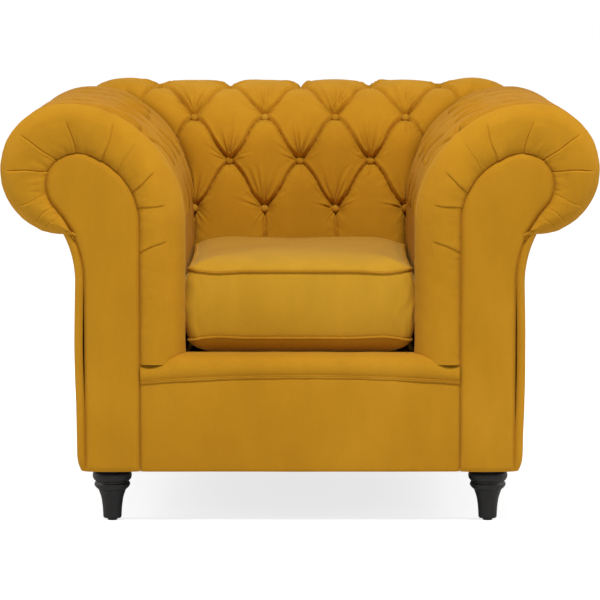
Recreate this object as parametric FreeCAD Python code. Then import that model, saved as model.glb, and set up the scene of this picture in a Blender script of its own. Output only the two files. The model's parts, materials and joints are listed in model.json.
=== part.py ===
import FreeCAD, Part
import math
import os

# Chesterfield armchair in millimetres. The origin is on the floor under the middle of the
# chair, +X is the right-hand side as seen from the front, +Y is the rear and +Z is up.
# "Out" is the distance away from the seat: |x| on an arm and y on the back.

V = FreeCAD.Vector

# Overall sizes
overall_width = 1100.0
overall_depth = 900.0
arm_height = 779.0
arm_width = 337.0
seat_width = overall_width - 2 * arm_width
deck_height = 300.0
leg_height = 100.0

# Scrolled front of each arm
scroll_radius = 119.0
border_width = 84.0
border_depth = 45.0
border_edge_bevel = 11.0
facing_width = 102.0
facing_thickness = 10.0
facing_setback = 3.0
head_radius = 59.0
head_height = arm_height - 147.0
facing_sweep_radius = 134.0
facing_sweep_turn = 16.5
neck_radius = 220.0

# Padded rolls behind the front scrolls
roll_inset = 3.0
roll_radius = scroll_radius - roll_inset
roll_top = arm_height - roll_inset
back_lean = 8.0
back_wall_depth = 302.0
back_foot = overall_depth / 2 - back_wall_depth
back_padding = 55.0
back_depth_at_panel = 32.0

# Deep buttoning
button_radius = 9.0
button_pocket_gap = 1.5
button_sink = 1.0
button_rim = 2.6
button_crown = 6.5
first_row = 243.0
row_pitch = 97.0
back_button_pitch = (overall_width - 2 * scroll_radius) / 6
arm_button_pitch = overall_depth / 6
first_arm_button = arm_button_pitch - overall_depth / 2
tuft_height = 13.0
roll_tuft_height = 11.0
tuft_height_at_underside = 3.0
tuft_root = 2.5
tuft_steps = 4
channel_steps = 8
pleat_gap = 1.5

# Timber frame
rail_thickness = 25.0
rear_rail_thickness = 36.0
rail_height = 181.0
post_thickness = 27.0
board_thickness = 8.0
board_top = arm_height - 219.0
back_post_width = 76.0
back_post_depth = 36.0
block_length = 76.0
block_height = 47.0

# Seat
deck_thickness = 12.5
deck_edge_depth = 53.0
deck_edge_round = 20.0
deck_edge_lift = 6.0
front_seam_height = 267.0
front_seam_rise = 11.0
front_welt_width = 5.6
front_welt_thickness = 4.0
front_welt_proud = 1.5
spring_count = 5
spring_pitch = seat_width / 4
spring_wire = 3.5
spring_width = 44.0
spring_loops = 5
clip_length = 18.0
clip_wall = 1.4

# Covers
panel_thickness = 14.0
panel_edge_bevel = 4.0
front_panel_setback = 4.0
dust_cover_thickness = 3.0
dust_cover_inset = 2.0

# Loose seat cushion
cushion_side_gap = 1.0
cushion_front_setback = 76.0
cushion_back_gap = 3.5
cushion_rest_gap = 0.3
boxing_bottom = 340.0
boxing_height = 126.0
boxing_draw_in = 4.0
crown_height = 30.0
cushion_corner_radius = 26.0
cushion_side_bow = 4.0
cushion_side_steps = 4
cushion_corner_steps = 3
welt_radius = 3.0
core_inset = 22.0
core_thickness = 110.0
zip_end_gap = 13.0
zip_length = seat_width - 2 * zip_end_gap
zip_width = 14.0
zip_recess = 5.0
zip_tape = 1.2
slider_length = 12.0
slider_width = 8.0
slider_height = 2.6
pull_length = 18.0
pull_thickness = 0.9

# Turned legs
leg_sides = 18
bolt_sides = 8
leg_side_setback = 47.0
front_leg_setback = 62.0
rear_leg_setback = 60.0
glide_radius = 9.0
glide_height = 3.4
bolt_radius = 4.0
bolt_length = 72.0
bolt_in_leg = 38.0
nut_flange_radius = 11.0
nut_flange = 1.6
nut_barrel_radius = 5.6
nut_barrel = 13.0

touch = 0.3

# Places worked out from the sizes above
front_y = -overall_depth / 2
arm_scroll_x = overall_width / 2 - scroll_radius
back_scroll_y = overall_depth / 2 - scroll_radius
half_seat = seat_width / 2
arm_face = half_seat + tuft_height + cushion_side_gap
facing_inner = half_seat + border_width
facing_outer = facing_inner + facing_width
body_side = facing_outer + panel_thickness
back_panel_inner = back_scroll_y - back_depth_at_panel
body_rear = back_panel_inner + panel_thickness
body_floor = leg_height + dust_cover_thickness
rail_top = body_floor + rail_height
deck_bottom = rail_top + spring_wire
border_rear = front_y + border_depth
facing_front = front_y + facing_setback
post_front = facing_front + facing_thickness
post_rear = post_front + post_thickness
front_rail_front = post_front
front_rail_rear = front_rail_front + rail_thickness
head_out_from_inner = (facing_sweep_radius
                       - (facing_sweep_radius - head_radius)
                       * math.sin(math.radians(facing_sweep_turn)))


def on_arm(along, out, z):
    """Point of the right arm: 'along' runs front to rear."""
    return V(out, along, z)


def on_back(along, out, z):
    """Point of the back: 'along' runs left to right."""
    return V(along, out, z)


def line(a, b):
    return Part.LineSegment(a, b).toShape()


def arc(a, b, c):
    return Part.Arc(a, b, c).toShape()


def box(x0, x1, y0, y1, z0, z1):
    return Part.makeBox(x1 - x0, y1 - y0, z1 - z0, V(x0, y0, z0))


def mirrored(shape):
    """The same piece on the other side of the chair."""
    return shape.mirror(V(0, 0, 0), V(1, 0, 0))


def polygon_prism(points, z0, z1):
    """Upright prism over a plan outline of (x, y) points."""
    corners = [V(x, y, z0) for x, y in points]
    outline = Part.makePolygon(corners + corners[:1])
    return Part.Face(outline).extrude(V(0, 0, z1 - z0))


def faceted(rows, ring=False):
    """Solid of flat faces through equal loops of points, capped unless it is a ring."""
    faces = []
    pairs = list(zip(rows, rows[1:]))
    if ring:
        pairs.append((rows[-1], rows[0]))
    else:
        faces += [Part.Face(Part.makePolygon(row + row[:1])) for row in (rows[0], rows[-1])]
    for low, high in pairs:
        for n in range(len(low)):
            a, b, c, d = low[n - 1], low[n], high[n], high[n - 1]
            if abs((b - a).cross(d - a).normalize().dot(c - a)) < 1e-6:
                outlines = [[a, b, c, d, a]]
            else:
                outlines = [[a, b, c, a], [a, c, d, a]]
            faces += [Part.Face(Part.makePolygon(outline)) for outline in outlines]
    return Part.makeSolid(Part.makeShell(faces))


def loop(radius, z, sides):
    """Points of a regular polygon round the Z axis."""
    turn = 2 * math.pi / sides
    return [V(radius * math.cos(n * turn), radius * math.sin(n * turn), z)
            for n in range(sides)]


def rod(radius, z0, z1, sides):
    """Upright prism with a regular outline, on the Z axis."""
    return faceted([loop(radius, z0, sides), loop(radius, z1, sides)])


def moved(shape, place):
    shape.translate(place)
    return shape


class Roll:
    """Outline of a padded wall: a leaning face, a sweep over the top, and a scroll."""

    def __init__(self, scroll_out, top, foot_out, lean_degrees, radius):
        lean = math.radians(lean_degrees)
        reach = scroll_out - foot_out - (top - deck_height) * math.tan(lean)
        self.scroll_out = scroll_out
        self.top = top
        self.foot = foot_out
        self.lean = lean
        self.radius = radius
        self.sweep = reach * math.cos(lean) / (1 - math.sin(lean))
        self.face_top = top - self.sweep + self.sweep * math.sin(lean)
        self.face_length = (self.face_top - deck_height) / math.cos(lean)
        self.sweep_length = self.sweep * (math.pi / 2 - lean)
        self.crest = self.face_length + self.sweep_length
        self.end = self.crest + math.pi * radius

    def at(self, distance):
        """Out, height and outward normal at a distance up from the foot of the face."""
        if distance <= self.face_length:
            out = self.foot + distance * math.sin(self.lean)
            z = deck_height + distance * math.cos(self.lean)
            return out, z, -math.cos(self.lean), math.sin(self.lean)
        if distance <= self.crest:
            turn = self.lean + (distance - self.face_length) / self.sweep
            out = self.scroll_out - self.sweep * math.cos(turn)
            z = self.top - self.sweep + self.sweep * math.sin(turn)
            return out, z, -math.cos(turn), math.sin(turn)
        turn = (distance - self.crest) / self.radius
        out = self.scroll_out + self.radius * math.sin(turn)
        z = self.top - self.radius + self.radius * math.cos(turn)
        return out, z, math.sin(turn), math.cos(turn)

    def point(self, place, along, distance):
        out, z, _, _ = self.at(distance)
        return place(along, out, z)

    def faceted_top(self, place, start):
        """Top of a buttoned wall as a chain of straight lines that the cells stand on."""
        marks = [self.face_length]
        for row in range(4):
            for share in (0.0, 0.36, 0.64):
                marks.append(first_row + (row + share) * row_pitch)
        top_start = first_row + 3 * row_pitch
        marks = [mark for mark in marks if self.face_length <= mark <= top_start]
        for step in range(1, channel_steps + 1):
            marks.append(top_start + step / channel_steps * (self.end - top_start))
        points = [self.point(place, start, mark) for mark in marks]
        return [line(a, b) for a, b in zip(points, points[1:])]

    def smooth_top(self, place, start):
        """Top of a plain scrolled wall as true arcs."""
        def p(distance):
            return self.point(place, start, distance)

        step = (self.end - self.crest) / 4
        return [
            arc(p(self.face_length), p(self.face_length + self.sweep_length / 2),
                p(self.crest)),
            arc(p(self.crest), p(self.crest + step), p(self.crest + 2 * step)),
            arc(p(self.crest + 2 * step), p(self.crest + 3 * step), p(self.end)),
        ]

    def solid(self, place, start, end, former, closing_out, top_edges):
        """The padding around the former, from one end of the wall to the other."""
        def p(distance):
            return self.point(place, start, distance)

        underside = self.top - 2 * self.radius
        inside_top = place(start, closing_out, underside)
        inside_foot = place(start, closing_out, deck_height)
        edges = [line(p(0), p(self.face_length))] + top_edges + [
            line(p(self.end), inside_top),
            line(inside_top, inside_foot),
            line(inside_foot, p(0)),
        ]
        run = place(end, 0, 0) - place(start, 0, 0)
        wall = Part.Face(Part.Wire(edges)).extrude(run)
        hollow = former.face(place, start, deck_height - 1).extrude(run)
        return wall.cut(hollow)


class Former:
    """Keyhole outline of the wooden former inside a roll, and of the arm's facing."""

    def __init__(self, head_out, outer, sweep_radius, sweep_turn, lean_degrees):
        turn = math.radians(sweep_turn)
        self.lean = math.radians(lean_degrees)
        self.head_out = head_out
        self.outer = outer
        self.sweep = sweep_radius
        self.join = (-math.sin(turn), math.cos(turn))
        self.sweep_out = head_out - (sweep_radius - head_radius) * self.join[0]
        self.sweep_z = head_height - (sweep_radius - head_radius) * self.join[1]
        self.neck_out = outer + neck_radius
        across = self.neck_out - head_out
        together = head_radius + neck_radius
        self.neck_z = head_height - math.sqrt(together ** 2 - across ** 2)
        self.neck_side = (across / together, (self.neck_z - head_height) / together)

    def inner_at(self, z):
        """Out of the inner face at a height on its straight part."""
        touch_out = self.sweep_out - self.sweep * math.cos(self.lean)
        touch_z = self.sweep_z + self.sweep * math.sin(self.lean)
        return touch_out - (touch_z - z) * math.tan(self.lean)

    def neck_at(self, z, offset=0.0):
        """Out of the outer side at a height, moved outward by the offset."""
        if z <= self.neck_z:
            return self.outer + offset
        radius = neck_radius - offset
        return self.neck_out - math.sqrt(radius ** 2 - (z - self.neck_z) ** 2)

    def face(self, place, along, bottom):
        def at(centre_out, centre_z, radius, direction):
            return place(along, centre_out + radius * direction[0],
                         centre_z + radius * direction[1])

        face_side = (-math.cos(self.lean), math.sin(self.lean))
        half_sweep = ((face_side[0] + self.join[0]) / 2, (face_side[1] + self.join[1]) / 2)
        size = math.hypot(*half_sweep)
        half_sweep = (half_sweep[0] / size, half_sweep[1] / size)
        head_start = math.atan2(self.join[1], self.join[0])
        head_end = math.atan2(self.neck_side[1], self.neck_side[0])
        head_mid = (head_start + head_end) / 2
        face_top = at(self.sweep_out, self.sweep_z, self.sweep, face_side)
        join = at(self.head_out, head_height, head_radius, self.join)
        head_side = at(self.head_out, head_height, head_radius,
                       (math.cos(head_mid), math.sin(head_mid)))
        neck_top = at(self.head_out, head_height, head_radius, self.neck_side)
        neck_top_z = head_height + head_radius * self.neck_side[1]
        neck_mid_z = (self.neck_z + neck_top_z) / 2
        edges = [
            line(place(along, self.inner_at(bottom), bottom), face_top),
            arc(face_top, at(self.sweep_out, self.sweep_z, self.sweep, half_sweep), join),
            arc(join, head_side, neck_top),
            arc(neck_top, place(along, self.neck_at(neck_mid_z), neck_mid_z),
                place(along, self.outer, self.neck_z)),
            line(place(along, self.outer, self.neck_z), place(along, self.outer, bottom)),
            line(place(along, self.outer, bottom),
                 place(along, self.inner_at(bottom), bottom)),
        ]
        return Part.Face(Part.Wire(edges))

    def shell(self, place, start, end):
        """Bent board around the head, from the flat inner board to the neck."""
        outline = self.face(place, start, rail_top)
        ring = outline.cut(outline.makeOffset2D(-board_thickness))
        solid = ring.extrude(place(end, 0, 0) - place(start, 0, 0))
        split = (self.inner_at(board_top) + self.outer) / 2
        low = [place(start - 1, self.inner_at(rail_top) - 60, 0),
               place(end + 1, split, board_top)]
        below = [place(start - 1, self.inner_at(rail_top) - 60, 0),
                 place(end + 1, self.outer + corner_reach, panel_top)]
        for a, b in (low, below):
            solid = solid.cut(box(a.x, b.x, a.y, b.y, a.z, b.z))
        return solid


arm_roll = Roll(arm_scroll_x, roll_top, arm_face, 0.0, roll_radius)
border_roll = Roll(arm_scroll_x, arm_height, half_seat, 0.0, scroll_radius)
back_roll = Roll(back_scroll_y, roll_top, back_foot, back_lean, roll_radius)
arm_former = Former(facing_inner + head_out_from_inner, facing_outer, facing_sweep_radius,
                    facing_sweep_turn, 0.0)
back_head_out = (back_foot + (head_height - deck_height) * math.tan(back_roll.lean)
                 + (head_radius + back_padding) / math.cos(back_roll.lean))
back_former = Former(back_head_out, back_panel_inner, head_radius, 0.0, back_lean)
panel_top = arm_height - 2 * scroll_radius - touch
corner_reach = 300.0
inner_slope = (back_scroll_y - back_roll.at(0)[0]) / (arm_scroll_x - arm_face)
inner_corner = (half_seat - 30.0, back_scroll_y - inner_slope * (arm_scroll_x - half_seat + 30.0))


def arm_zone():
    """Plan of the right arm, mitred to the back along its inner and outer corners."""
    outside = overall_width / 2 + corner_reach
    return polygon_prism([
        (arm_scroll_x, back_scroll_y),
        (outside, back_scroll_y + outside - arm_scroll_x),
        (outside, border_rear),
        (inner_corner[0], border_rear),
        inner_corner], 0, arm_height + corner_reach)


def back_zone():
    """Plan of the back between the two mitres."""
    outside = overall_width / 2 + corner_reach
    far = back_scroll_y + outside - arm_scroll_x
    right = [inner_corner, (arm_scroll_x, back_scroll_y), (outside, far)]
    left = [(-x, y) for x, y in reversed(right)]
    return polygon_prism(right + left, 0, arm_height + corner_reach)


def tuft(roll, place, centre, stations):
    """Stuffed cell up the wall, arched across: (distance, half width, height)."""
    rows = []
    for distance, half_width, height in stations:
        out, z, normal_out, normal_z = roll.at(distance)
        row = []
        for step in range(tuft_steps + 1):
            share = 2 * step / tuft_steps - 1
            rise = (height + tuft_root) * (1 - share ** 2) - tuft_root
            row.append(place(centre + share * half_width,
                             out + rise * normal_out, z + rise * normal_z))
        rows.append(row)
    return faceted(rows)


def half_diamond(roll, place, centre, level, direction, half_pitch, height):
    """From the widest level of a diamond to the button above or below it."""
    stations = []
    for share in (0.0, 0.36, 0.64, 0.86):
        half_width = half_pitch * (1 - share) - pleat_gap
        rise = height * math.sqrt(1 - share ** 2)
        stations.append((level + direction * share * row_pitch, half_width, rise))
    return tuft(roll, place, centre, stations)


def lower_channel(roll, place, centre, half_pitch, height):
    """Straight channel from the deck up to the lowest buttons."""
    foot = first_row - row_pitch * 2.45
    stations = []
    for distance, share in ((foot, 0.6), (foot + 90, 0.9), (first_row, 1.0)):
        stations.append((distance, half_pitch - pleat_gap, height * share))
    return tuft(roll, place, centre, stations)


def upper_channel(roll, place, centre, half_pitch):
    """Straight channel from the hidden top row over the roll to its underside."""
    start = first_row + 3 * row_pitch
    stations = []
    for step in range(channel_steps + 1):
        share = step / channel_steps
        height = roll_tuft_height + (tuft_height_at_underside - roll_tuft_height) * min(
            1.0, 1.7 * share)
        stations.append((start + share * (roll.end - 4.0 - start),
                         half_pitch - pleat_gap, height))
    return tuft(roll, place, centre, stations)


def tufts(roll, place, low_centres, high_centres, pitch):
    """All the cells of a wall. High centres stand over the top and third rows of buttons."""
    half = pitch / 2
    rows = [first_row + row_pitch * n for n in range(4)]
    cells = []
    for centre in low_centres:
        cells.append(lower_channel(roll, place, centre, half, tuft_height))
        cells.append(half_diamond(roll, place, centre, rows[0], 1, half, tuft_height))
        cells.append(half_diamond(roll, place, centre, rows[2], -1, half, tuft_height))
        cells.append(half_diamond(roll, place, centre, rows[2], 1, half, tuft_height))
    for centre in high_centres:
        cells.append(half_diamond(roll, place, centre, rows[1], -1, half, tuft_height))
        cells.append(half_diamond(roll, place, centre, rows[1], 1, half, tuft_height))
        cells.append(half_diamond(roll, place, centre, rows[3], -1, half, roll_tuft_height))
        cells.append(upper_channel(roll, place, centre, half))
    return cells


def button_seats(roll, place, low_centres, high_centres, inside):
    """Centre and outward direction of each button that lies inside the wall's zone."""
    rows = [(0, high_centres), (1, low_centres), (2, high_centres), (3, low_centres)]
    seats = []
    for row, centres in rows:
        for centre in centres:
            out, z, normal_out, normal_z = roll.at(first_row + row * row_pitch)
            if inside(centre, out):
                seats.append((place(centre, out, z), place(0, normal_out, normal_z)))
    return seats


def facing_out(shape, seat, normal):
    """The shape moved from the origin to a button's seat, its +Z along the normal."""
    turn = FreeCAD.Rotation(V(0, 0, 1), normal)
    shape.Placement = FreeCAD.Placement(seat - normal * button_sink, turn)
    return shape


def pocketed(pad, seats):
    """The pad with a pocket sunk at every button."""
    radius = button_radius + button_pocket_gap
    pockets = [facing_out(rod(radius, 0, 3 * tuft_height, 8), seat, normal)
               for seat, normal in seats]
    return pad.cut(Part.makeCompound(pockets))


def button(seat, normal):
    """Domed covered button with its flat back on the floor of the pocket."""
    dome = faceted([loop(button_radius, 0, 8), loop(button_radius, button_rim, 8),
                    loop(button_radius / 2, button_crown, 8)])
    return facing_out(dome, seat, normal)


back_high = [back_button_pitch * (n + 0.5) for n in (-3, -2, -1, 0, 1, 2)]
back_low = [back_button_pitch * n for n in (-2, -1, 0, 1, 2)]
arm_low = [first_arm_button + arm_button_pitch * n for n in (0, 1, 2, 3)]
arm_high = [first_arm_button + arm_button_pitch * (n - 0.5) for n in (0, 1, 2, 3, 4)]


def inside_arm(along, out):
    mitre = back_scroll_y - inner_slope * (arm_scroll_x - out)
    return border_rear + 2.5 * button_radius < along < mitre - 2.5 * button_radius


def inside_back(along, out):
    mitre = arm_scroll_x - (back_scroll_y - out) / inner_slope
    return abs(along) < mitre - 2.5 * button_radius


def make_arm_pad():
    base = arm_roll.solid(on_arm, border_rear, back_scroll_y + corner_reach, arm_former,
                          facing_outer - 20.0, arm_roll.faceted_top(on_arm, border_rear))
    cells = tufts(arm_roll, on_arm, arm_low, arm_high, arm_button_pitch)
    pad = base.fuse(cells).common(arm_zone())
    return pocketed(pad, arm_seats)


def make_back_pad():
    half = arm_scroll_x + corner_reach
    base = back_roll.solid(on_back, -half, half, back_former, back_panel_inner - 20.0,
                           back_roll.faceted_top(on_back, -half))
    cells = tufts(back_roll, on_back, back_low, back_high, back_button_pitch)
    pad = base.fuse(cells).common(back_zone())
    return pocketed(pad, back_seats)


arm_seats = button_seats(arm_roll, on_arm, arm_low, arm_high, inside_arm)
back_seats = button_seats(back_roll, on_back, back_low, back_high, inside_back)


def soften_front_edges(solid, front, width, keep):
    """Bevel the edges in a front plane whose middle passes the test."""
    chosen = []
    for edge in solid.Edges:
        middle = edge.valueAt((edge.FirstParameter + edge.LastParameter) / 2)
        flat = all(abs(vertex.Point.y - front) < 1e-4 for vertex in edge.Vertexes)
        if flat and abs(middle.y - front) < 1e-4 and keep(middle):
            chosen.append(edge)
    return solid.makeChamfer(width, chosen)


def make_front_border():
    """Padded scroll face around the facing."""
    solid = border_roll.solid(on_arm, border_rear, front_y, arm_former, facing_outer - 20.0,
                              border_roll.smooth_top(on_arm, border_rear))

    def on_rim(point):
        far = math.hypot(point.x - arm_scroll_x, point.z - border_roll.top + scroll_radius)
        sweep = math.hypot(point.x - arm_scroll_x, point.z - border_roll.top + border_roll.sweep)
        on_sweep = abs(sweep - border_roll.sweep) < 1 and point.x < arm_scroll_x
        return point.x < half_seat + 1 or abs(far - scroll_radius) < 1 or on_sweep

    return soften_front_edges(solid, front_y, border_edge_bevel, on_rim)


def make_facing():
    return arm_former.face(on_arm, post_front, body_floor).extrude(V(0, -facing_thickness, 0))


def make_front_post():
    return arm_former.face(on_arm, post_front, body_floor).extrude(V(0, post_thickness, 0))


def side_panel(former, place, start, end):
    """Outside cover below the roll: a flat side that flares along the neck."""
    mid_z = (former.neck_z + panel_top) / 2

    def p(z, offset):
        return place(start, former.neck_at(z, offset), z)

    edges = [
        line(p(body_floor, 0), p(former.neck_z, 0)),
        arc(p(former.neck_z, 0), p(mid_z, 0), p(panel_top, 0)),
        line(p(panel_top, 0), p(panel_top, panel_thickness)),
        arc(p(panel_top, panel_thickness), p(mid_z, panel_thickness),
            p(former.neck_z, panel_thickness)),
        line(p(former.neck_z, panel_thickness), p(body_floor, panel_thickness)),
        line(p(body_floor, panel_thickness), p(body_floor, 0)),
    ]
    return Part.Face(Part.Wire(edges)).extrude(place(end, 0, 0) - place(start, 0, 0))


def outer_corner_cut(keep_arm):
    """Plan on one side of the 45 degree seam at the outer rear corner."""
    corner = (facing_outer, back_panel_inner)
    far = corner_reach
    if keep_arm:
        return polygon_prism([(corner[0] - 30.0, corner[1] - 30.0),
                              (corner[0] + far, corner[1] + far),
                              (corner[0] + far, front_y - far),
                              (corner[0] - 30.0, front_y - far)], 0, arm_height)
    return polygon_prism([corner, (corner[0] + far, corner[1] + far),
                          (-corner[0] - far, corner[1] + far), (-corner[0], corner[1])],
                         0, arm_height)


def make_outside_arm():
    solid = side_panel(arm_former, on_arm, facing_front, body_rear + corner_reach)
    solid = solid.common(outer_corner_cut(True))

    def outer_edge(point):
        return point.x > arm_former.neck_at(point.z, panel_thickness) - 1

    return soften_front_edges(solid, facing_front, panel_edge_bevel, outer_edge)


def make_outside_back():
    half = facing_outer + corner_reach
    return side_panel(back_former, on_back, -half, half).common(outer_corner_cut(False))


def make_back_board():
    low, high = rail_top, board_top
    front = back_former.inner_at(low)
    half = arm_scroll_x - (back_scroll_y - front) / inner_slope - touch
    run = board_thickness / math.cos(back_former.lean)
    corners = [V(-half, back_former.inner_at(z) + shift, z)
               for z, shift in ((low, 0), (high, 0), (high, run), (low, run))]
    return Part.Face(Part.makePolygon(corners + corners[:1])).extrude(V(2 * half, 0, 0))


def make_back_post():
    return box(facing_outer - back_post_width, facing_outer,
               back_panel_inner - back_post_depth, back_panel_inner,
               body_floor + block_height, back_former.neck_z)


def front_seam(z_shift, y):
    """Slightly arched seam between the deck's front edge and the front panel."""
    return (V(-facing_inner, y, front_seam_height + z_shift),
            V(0, y, front_seam_height + front_seam_rise + z_shift),
            V(facing_inner, y, front_seam_height + z_shift))


def below_seam(y0, y1, bottom, z_shift=0.0):
    """Everything under the arched seam between two planes."""
    left, middle, right = front_seam(z_shift, y0)
    edges = [line(V(-facing_inner, y0, bottom), left), arc(left, middle, right),
             line(right, V(facing_inner, y0, bottom)),
             line(V(facing_inner, y0, bottom), V(-facing_inner, y0, bottom))]
    return Part.Face(Part.Wire(edges)).extrude(V(0, y1 - y0, 0))


def make_front_welt():
    """Flat folded strip sewn along the seam."""
    y0 = front_y + front_panel_setback - front_welt_proud
    y1 = y0 + front_welt_thickness
    half = front_welt_width / 2
    upper = below_seam(y0, y1, body_floor, half)
    return upper.cut(below_seam(y0 - 1, y1 + 1, body_floor - 1, -half))


def make_front_panel(welt):
    front = front_y + front_panel_setback
    return below_seam(front, front_rail_front, body_floor).cut(welt)


def make_deck_edge(welt):
    """Padded front edge of the deck, folded down over the front rail."""
    y0 = front_y + front_panel_setback - 1.0
    y1 = y0 + deck_edge_depth
    top = deck_height
    base = rail_top + deck_edge_lift
    rounded = deck_edge_round * (1 - math.sqrt(0.5))
    edges = [
        line(V(0, y0, front_seam_height), V(0, y0, top - deck_edge_round)),
        arc(V(0, y0, top - deck_edge_round), V(0, y0 + rounded, top - rounded),
            V(0, y0 + deck_edge_round, top)),
        line(V(0, y0 + deck_edge_round, top), V(0, y1, top)),
        line(V(0, y1, top), V(0, y1, base)),
        line(V(0, y1, base), V(0, front_rail_front, base)),
        line(V(0, front_rail_front, base), V(0, front_rail_front, front_seam_height)),
        line(V(0, front_rail_front, front_seam_height), V(0, y0, front_seam_height)),
    ]
    solid = Part.Face(Part.Wire(edges)).extrude(V(2 * facing_inner, 0, 0))
    solid.translate(V(-facing_inner, 0, 0))
    return solid.cut(below_seam(y0 - 5, front_rail_front, body_floor)).cut(welt)


def deck_edge_rear():
    return front_y + front_panel_setback - 1.0 + deck_edge_depth


def make_deck():
    return box(-facing_inner, facing_inner, deck_edge_rear(), rear_rail_front + 5.0,
               deck_bottom, deck_height)


rear_rail_front = back_former.inner_at(rail_top) - 25.0
rear_rail_rear = rear_rail_front + rear_rail_thickness


def spring_outline(x):
    """Centre line of one zigzag spring, from the front rail to the rear rail."""
    start = front_rail_front + 9.0
    end = rear_rail_front + 9.0
    step = (end - start) / (2 * spring_loops)
    half = spring_width / 2
    points = [V(x - clip_length / 2, start, 0)]
    for loop in range(spring_loops):
        y = start + 2 * loop * step
        points += [V(x + half, y, 0), V(x + half, y + step, 0),
                   V(x - half, y + step, 0), V(x - half, y + 2 * step, 0)]
    points.append(V(x + clip_length / 2, end, 0))
    return points


def make_springs():
    springs = []
    for n in range(spring_count):
        x = spring_pitch * (n - (spring_count - 1) / 2)
        points = spring_outline(x)
        path = Part.makePolygon(points)
        half = spring_wire / 2
        corners = [V(points[0].x, points[0].y + a * half, b * half)
                   for a, b in ((-1, -1), (1, -1), (1, 1), (-1, 1))]
        sweep = Part.BRepOffsetAPI.MakePipeShell(path)
        sweep.setFrenetMode(False)
        sweep.setTransitionMode(1)
        sweep.add(Part.makePolygon(corners + corners[:1]))
        sweep.build()
        sweep.makeSolid()
        spring = sweep.shape()
        spring.translate(V(0, 0, rail_top + half))
        springs.append(spring)
    return Part.makeCompound(springs)


def make_clips():
    """Clips nailed over the spring ends on the front and rear rails."""
    outer = spring_wire / 2 + touch + clip_wall
    inner = spring_wire / 2 + touch
    height = spring_wire + touch
    clips = []
    for n in range(spring_count):
        x = spring_pitch * (n - (spring_count - 1) / 2)
        for y in (front_rail_front + 9.0, rear_rail_front + 9.0):
            hood = box(x - 6, x + 6, y - outer, y + outer, rail_top,
                       rail_top + height + clip_wall)
            slot = box(x - 7, x + 7, y - inner, y + inner, rail_top, rail_top + height)
            clips.append(hood.cut(slot))
    return Part.makeCompound(clips)


def leg_places():
    front = front_y + front_leg_setback
    rear = body_rear - rear_leg_setback
    x = facing_outer - leg_side_setback
    return {"front_left": V(-x, front, 0), "front_right": V(x, front, 0),
            "rear_left": V(-x, rear, 0), "rear_right": V(x, rear, 0)}


def make_leg(place):
    """Turned leg with two beads over a hollow taper."""
    h = leg_height
    outline = [(17.0, glide_height), (18.0, 0.17 * h), (20.2, 0.36 * h), (24.6, 0.54 * h),
               (31.6, 0.62 * h), (33.4, 0.665 * h), (31.4, 0.73 * h), (35.6, 0.785 * h),
               (36.6, 0.845 * h), (35.6, 0.905 * h), (33.0, 0.94 * h), (33.0, h)]
    leg = faceted([loop(radius, z, leg_sides) for radius, z in outline])
    leg = leg.cut(rod(bolt_radius, h - bolt_in_leg, h + 1, bolt_sides))
    return moved(leg, place)


def make_glides(places):
    return Part.makeCompound([moved(rod(glide_radius, 0, glide_height, bolt_sides), place)
                              for place in places])


def make_bolts(places):
    start = leg_height - bolt_in_leg
    return Part.makeCompound([
        moved(rod(bolt_radius, start, start + bolt_length, bolt_sides), place)
        for place in places])


def make_nuts(places):
    """Flanged nuts driven into the corner blocks from below."""
    nuts = []
    low, middle = body_floor, body_floor + nut_flange
    for place in places:
        flange = rod(nut_flange_radius, low, middle, 8)
        barrel = rod(nut_barrel_radius, middle, middle + nut_barrel, 8)
        bore = rod(bolt_radius, low - 1, low + 2 * nut_barrel, bolt_sides)
        nuts.append(moved(flange.fuse(barrel).cut(bore), place))
    return Part.makeCompound(nuts)


def make_blocks(places):
    """Corner blocks between the rails, the posts and the outside covers."""
    blocks = []
    for place in places:
        side = math.copysign(1.0, place.x)
        x0, x1 = sorted((side * (facing_inner + rail_thickness), side * facing_outer))
        if place.y < 0:
            y0, y1 = post_rear, post_rear + block_length
        else:
            y0, y1 = back_panel_inner - block_length, back_panel_inner
        low = body_floor + nut_flange
        block = box(x0, x1, y0, y1, low, body_floor + block_height)
        hole = moved(rod(nut_barrel_radius, low - 1, low + block_height, 8), place)
        blocks.append(block.cut(hole))
    return Part.makeCompound(blocks)


def make_dust_cover(places):
    half = body_side - dust_cover_inset
    sheet = box(-half, half, facing_front + dust_cover_inset, body_rear - dust_cover_inset,
                leg_height, body_floor)
    for place in places:
        sheet = sheet.cut(moved(rod(bolt_radius, 0, 2 * leg_height, bolt_sides), place))
    return sheet


# Loose seat cushion
cushion_half_width = half_seat - cushion_side_gap
cushion_front = front_y + cushion_front_setback
cushion_rear = back_foot - cushion_back_gap - tuft_height * 0.6
cushion_half_depth = (cushion_rear - cushion_front) / 2
cushion_middle = (cushion_rear + cushion_front) / 2
boxing_top = boxing_bottom + boxing_height
boxing_middle = boxing_bottom + boxing_height / 2
cushion_bottom = deck_height + cushion_rest_gap


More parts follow.
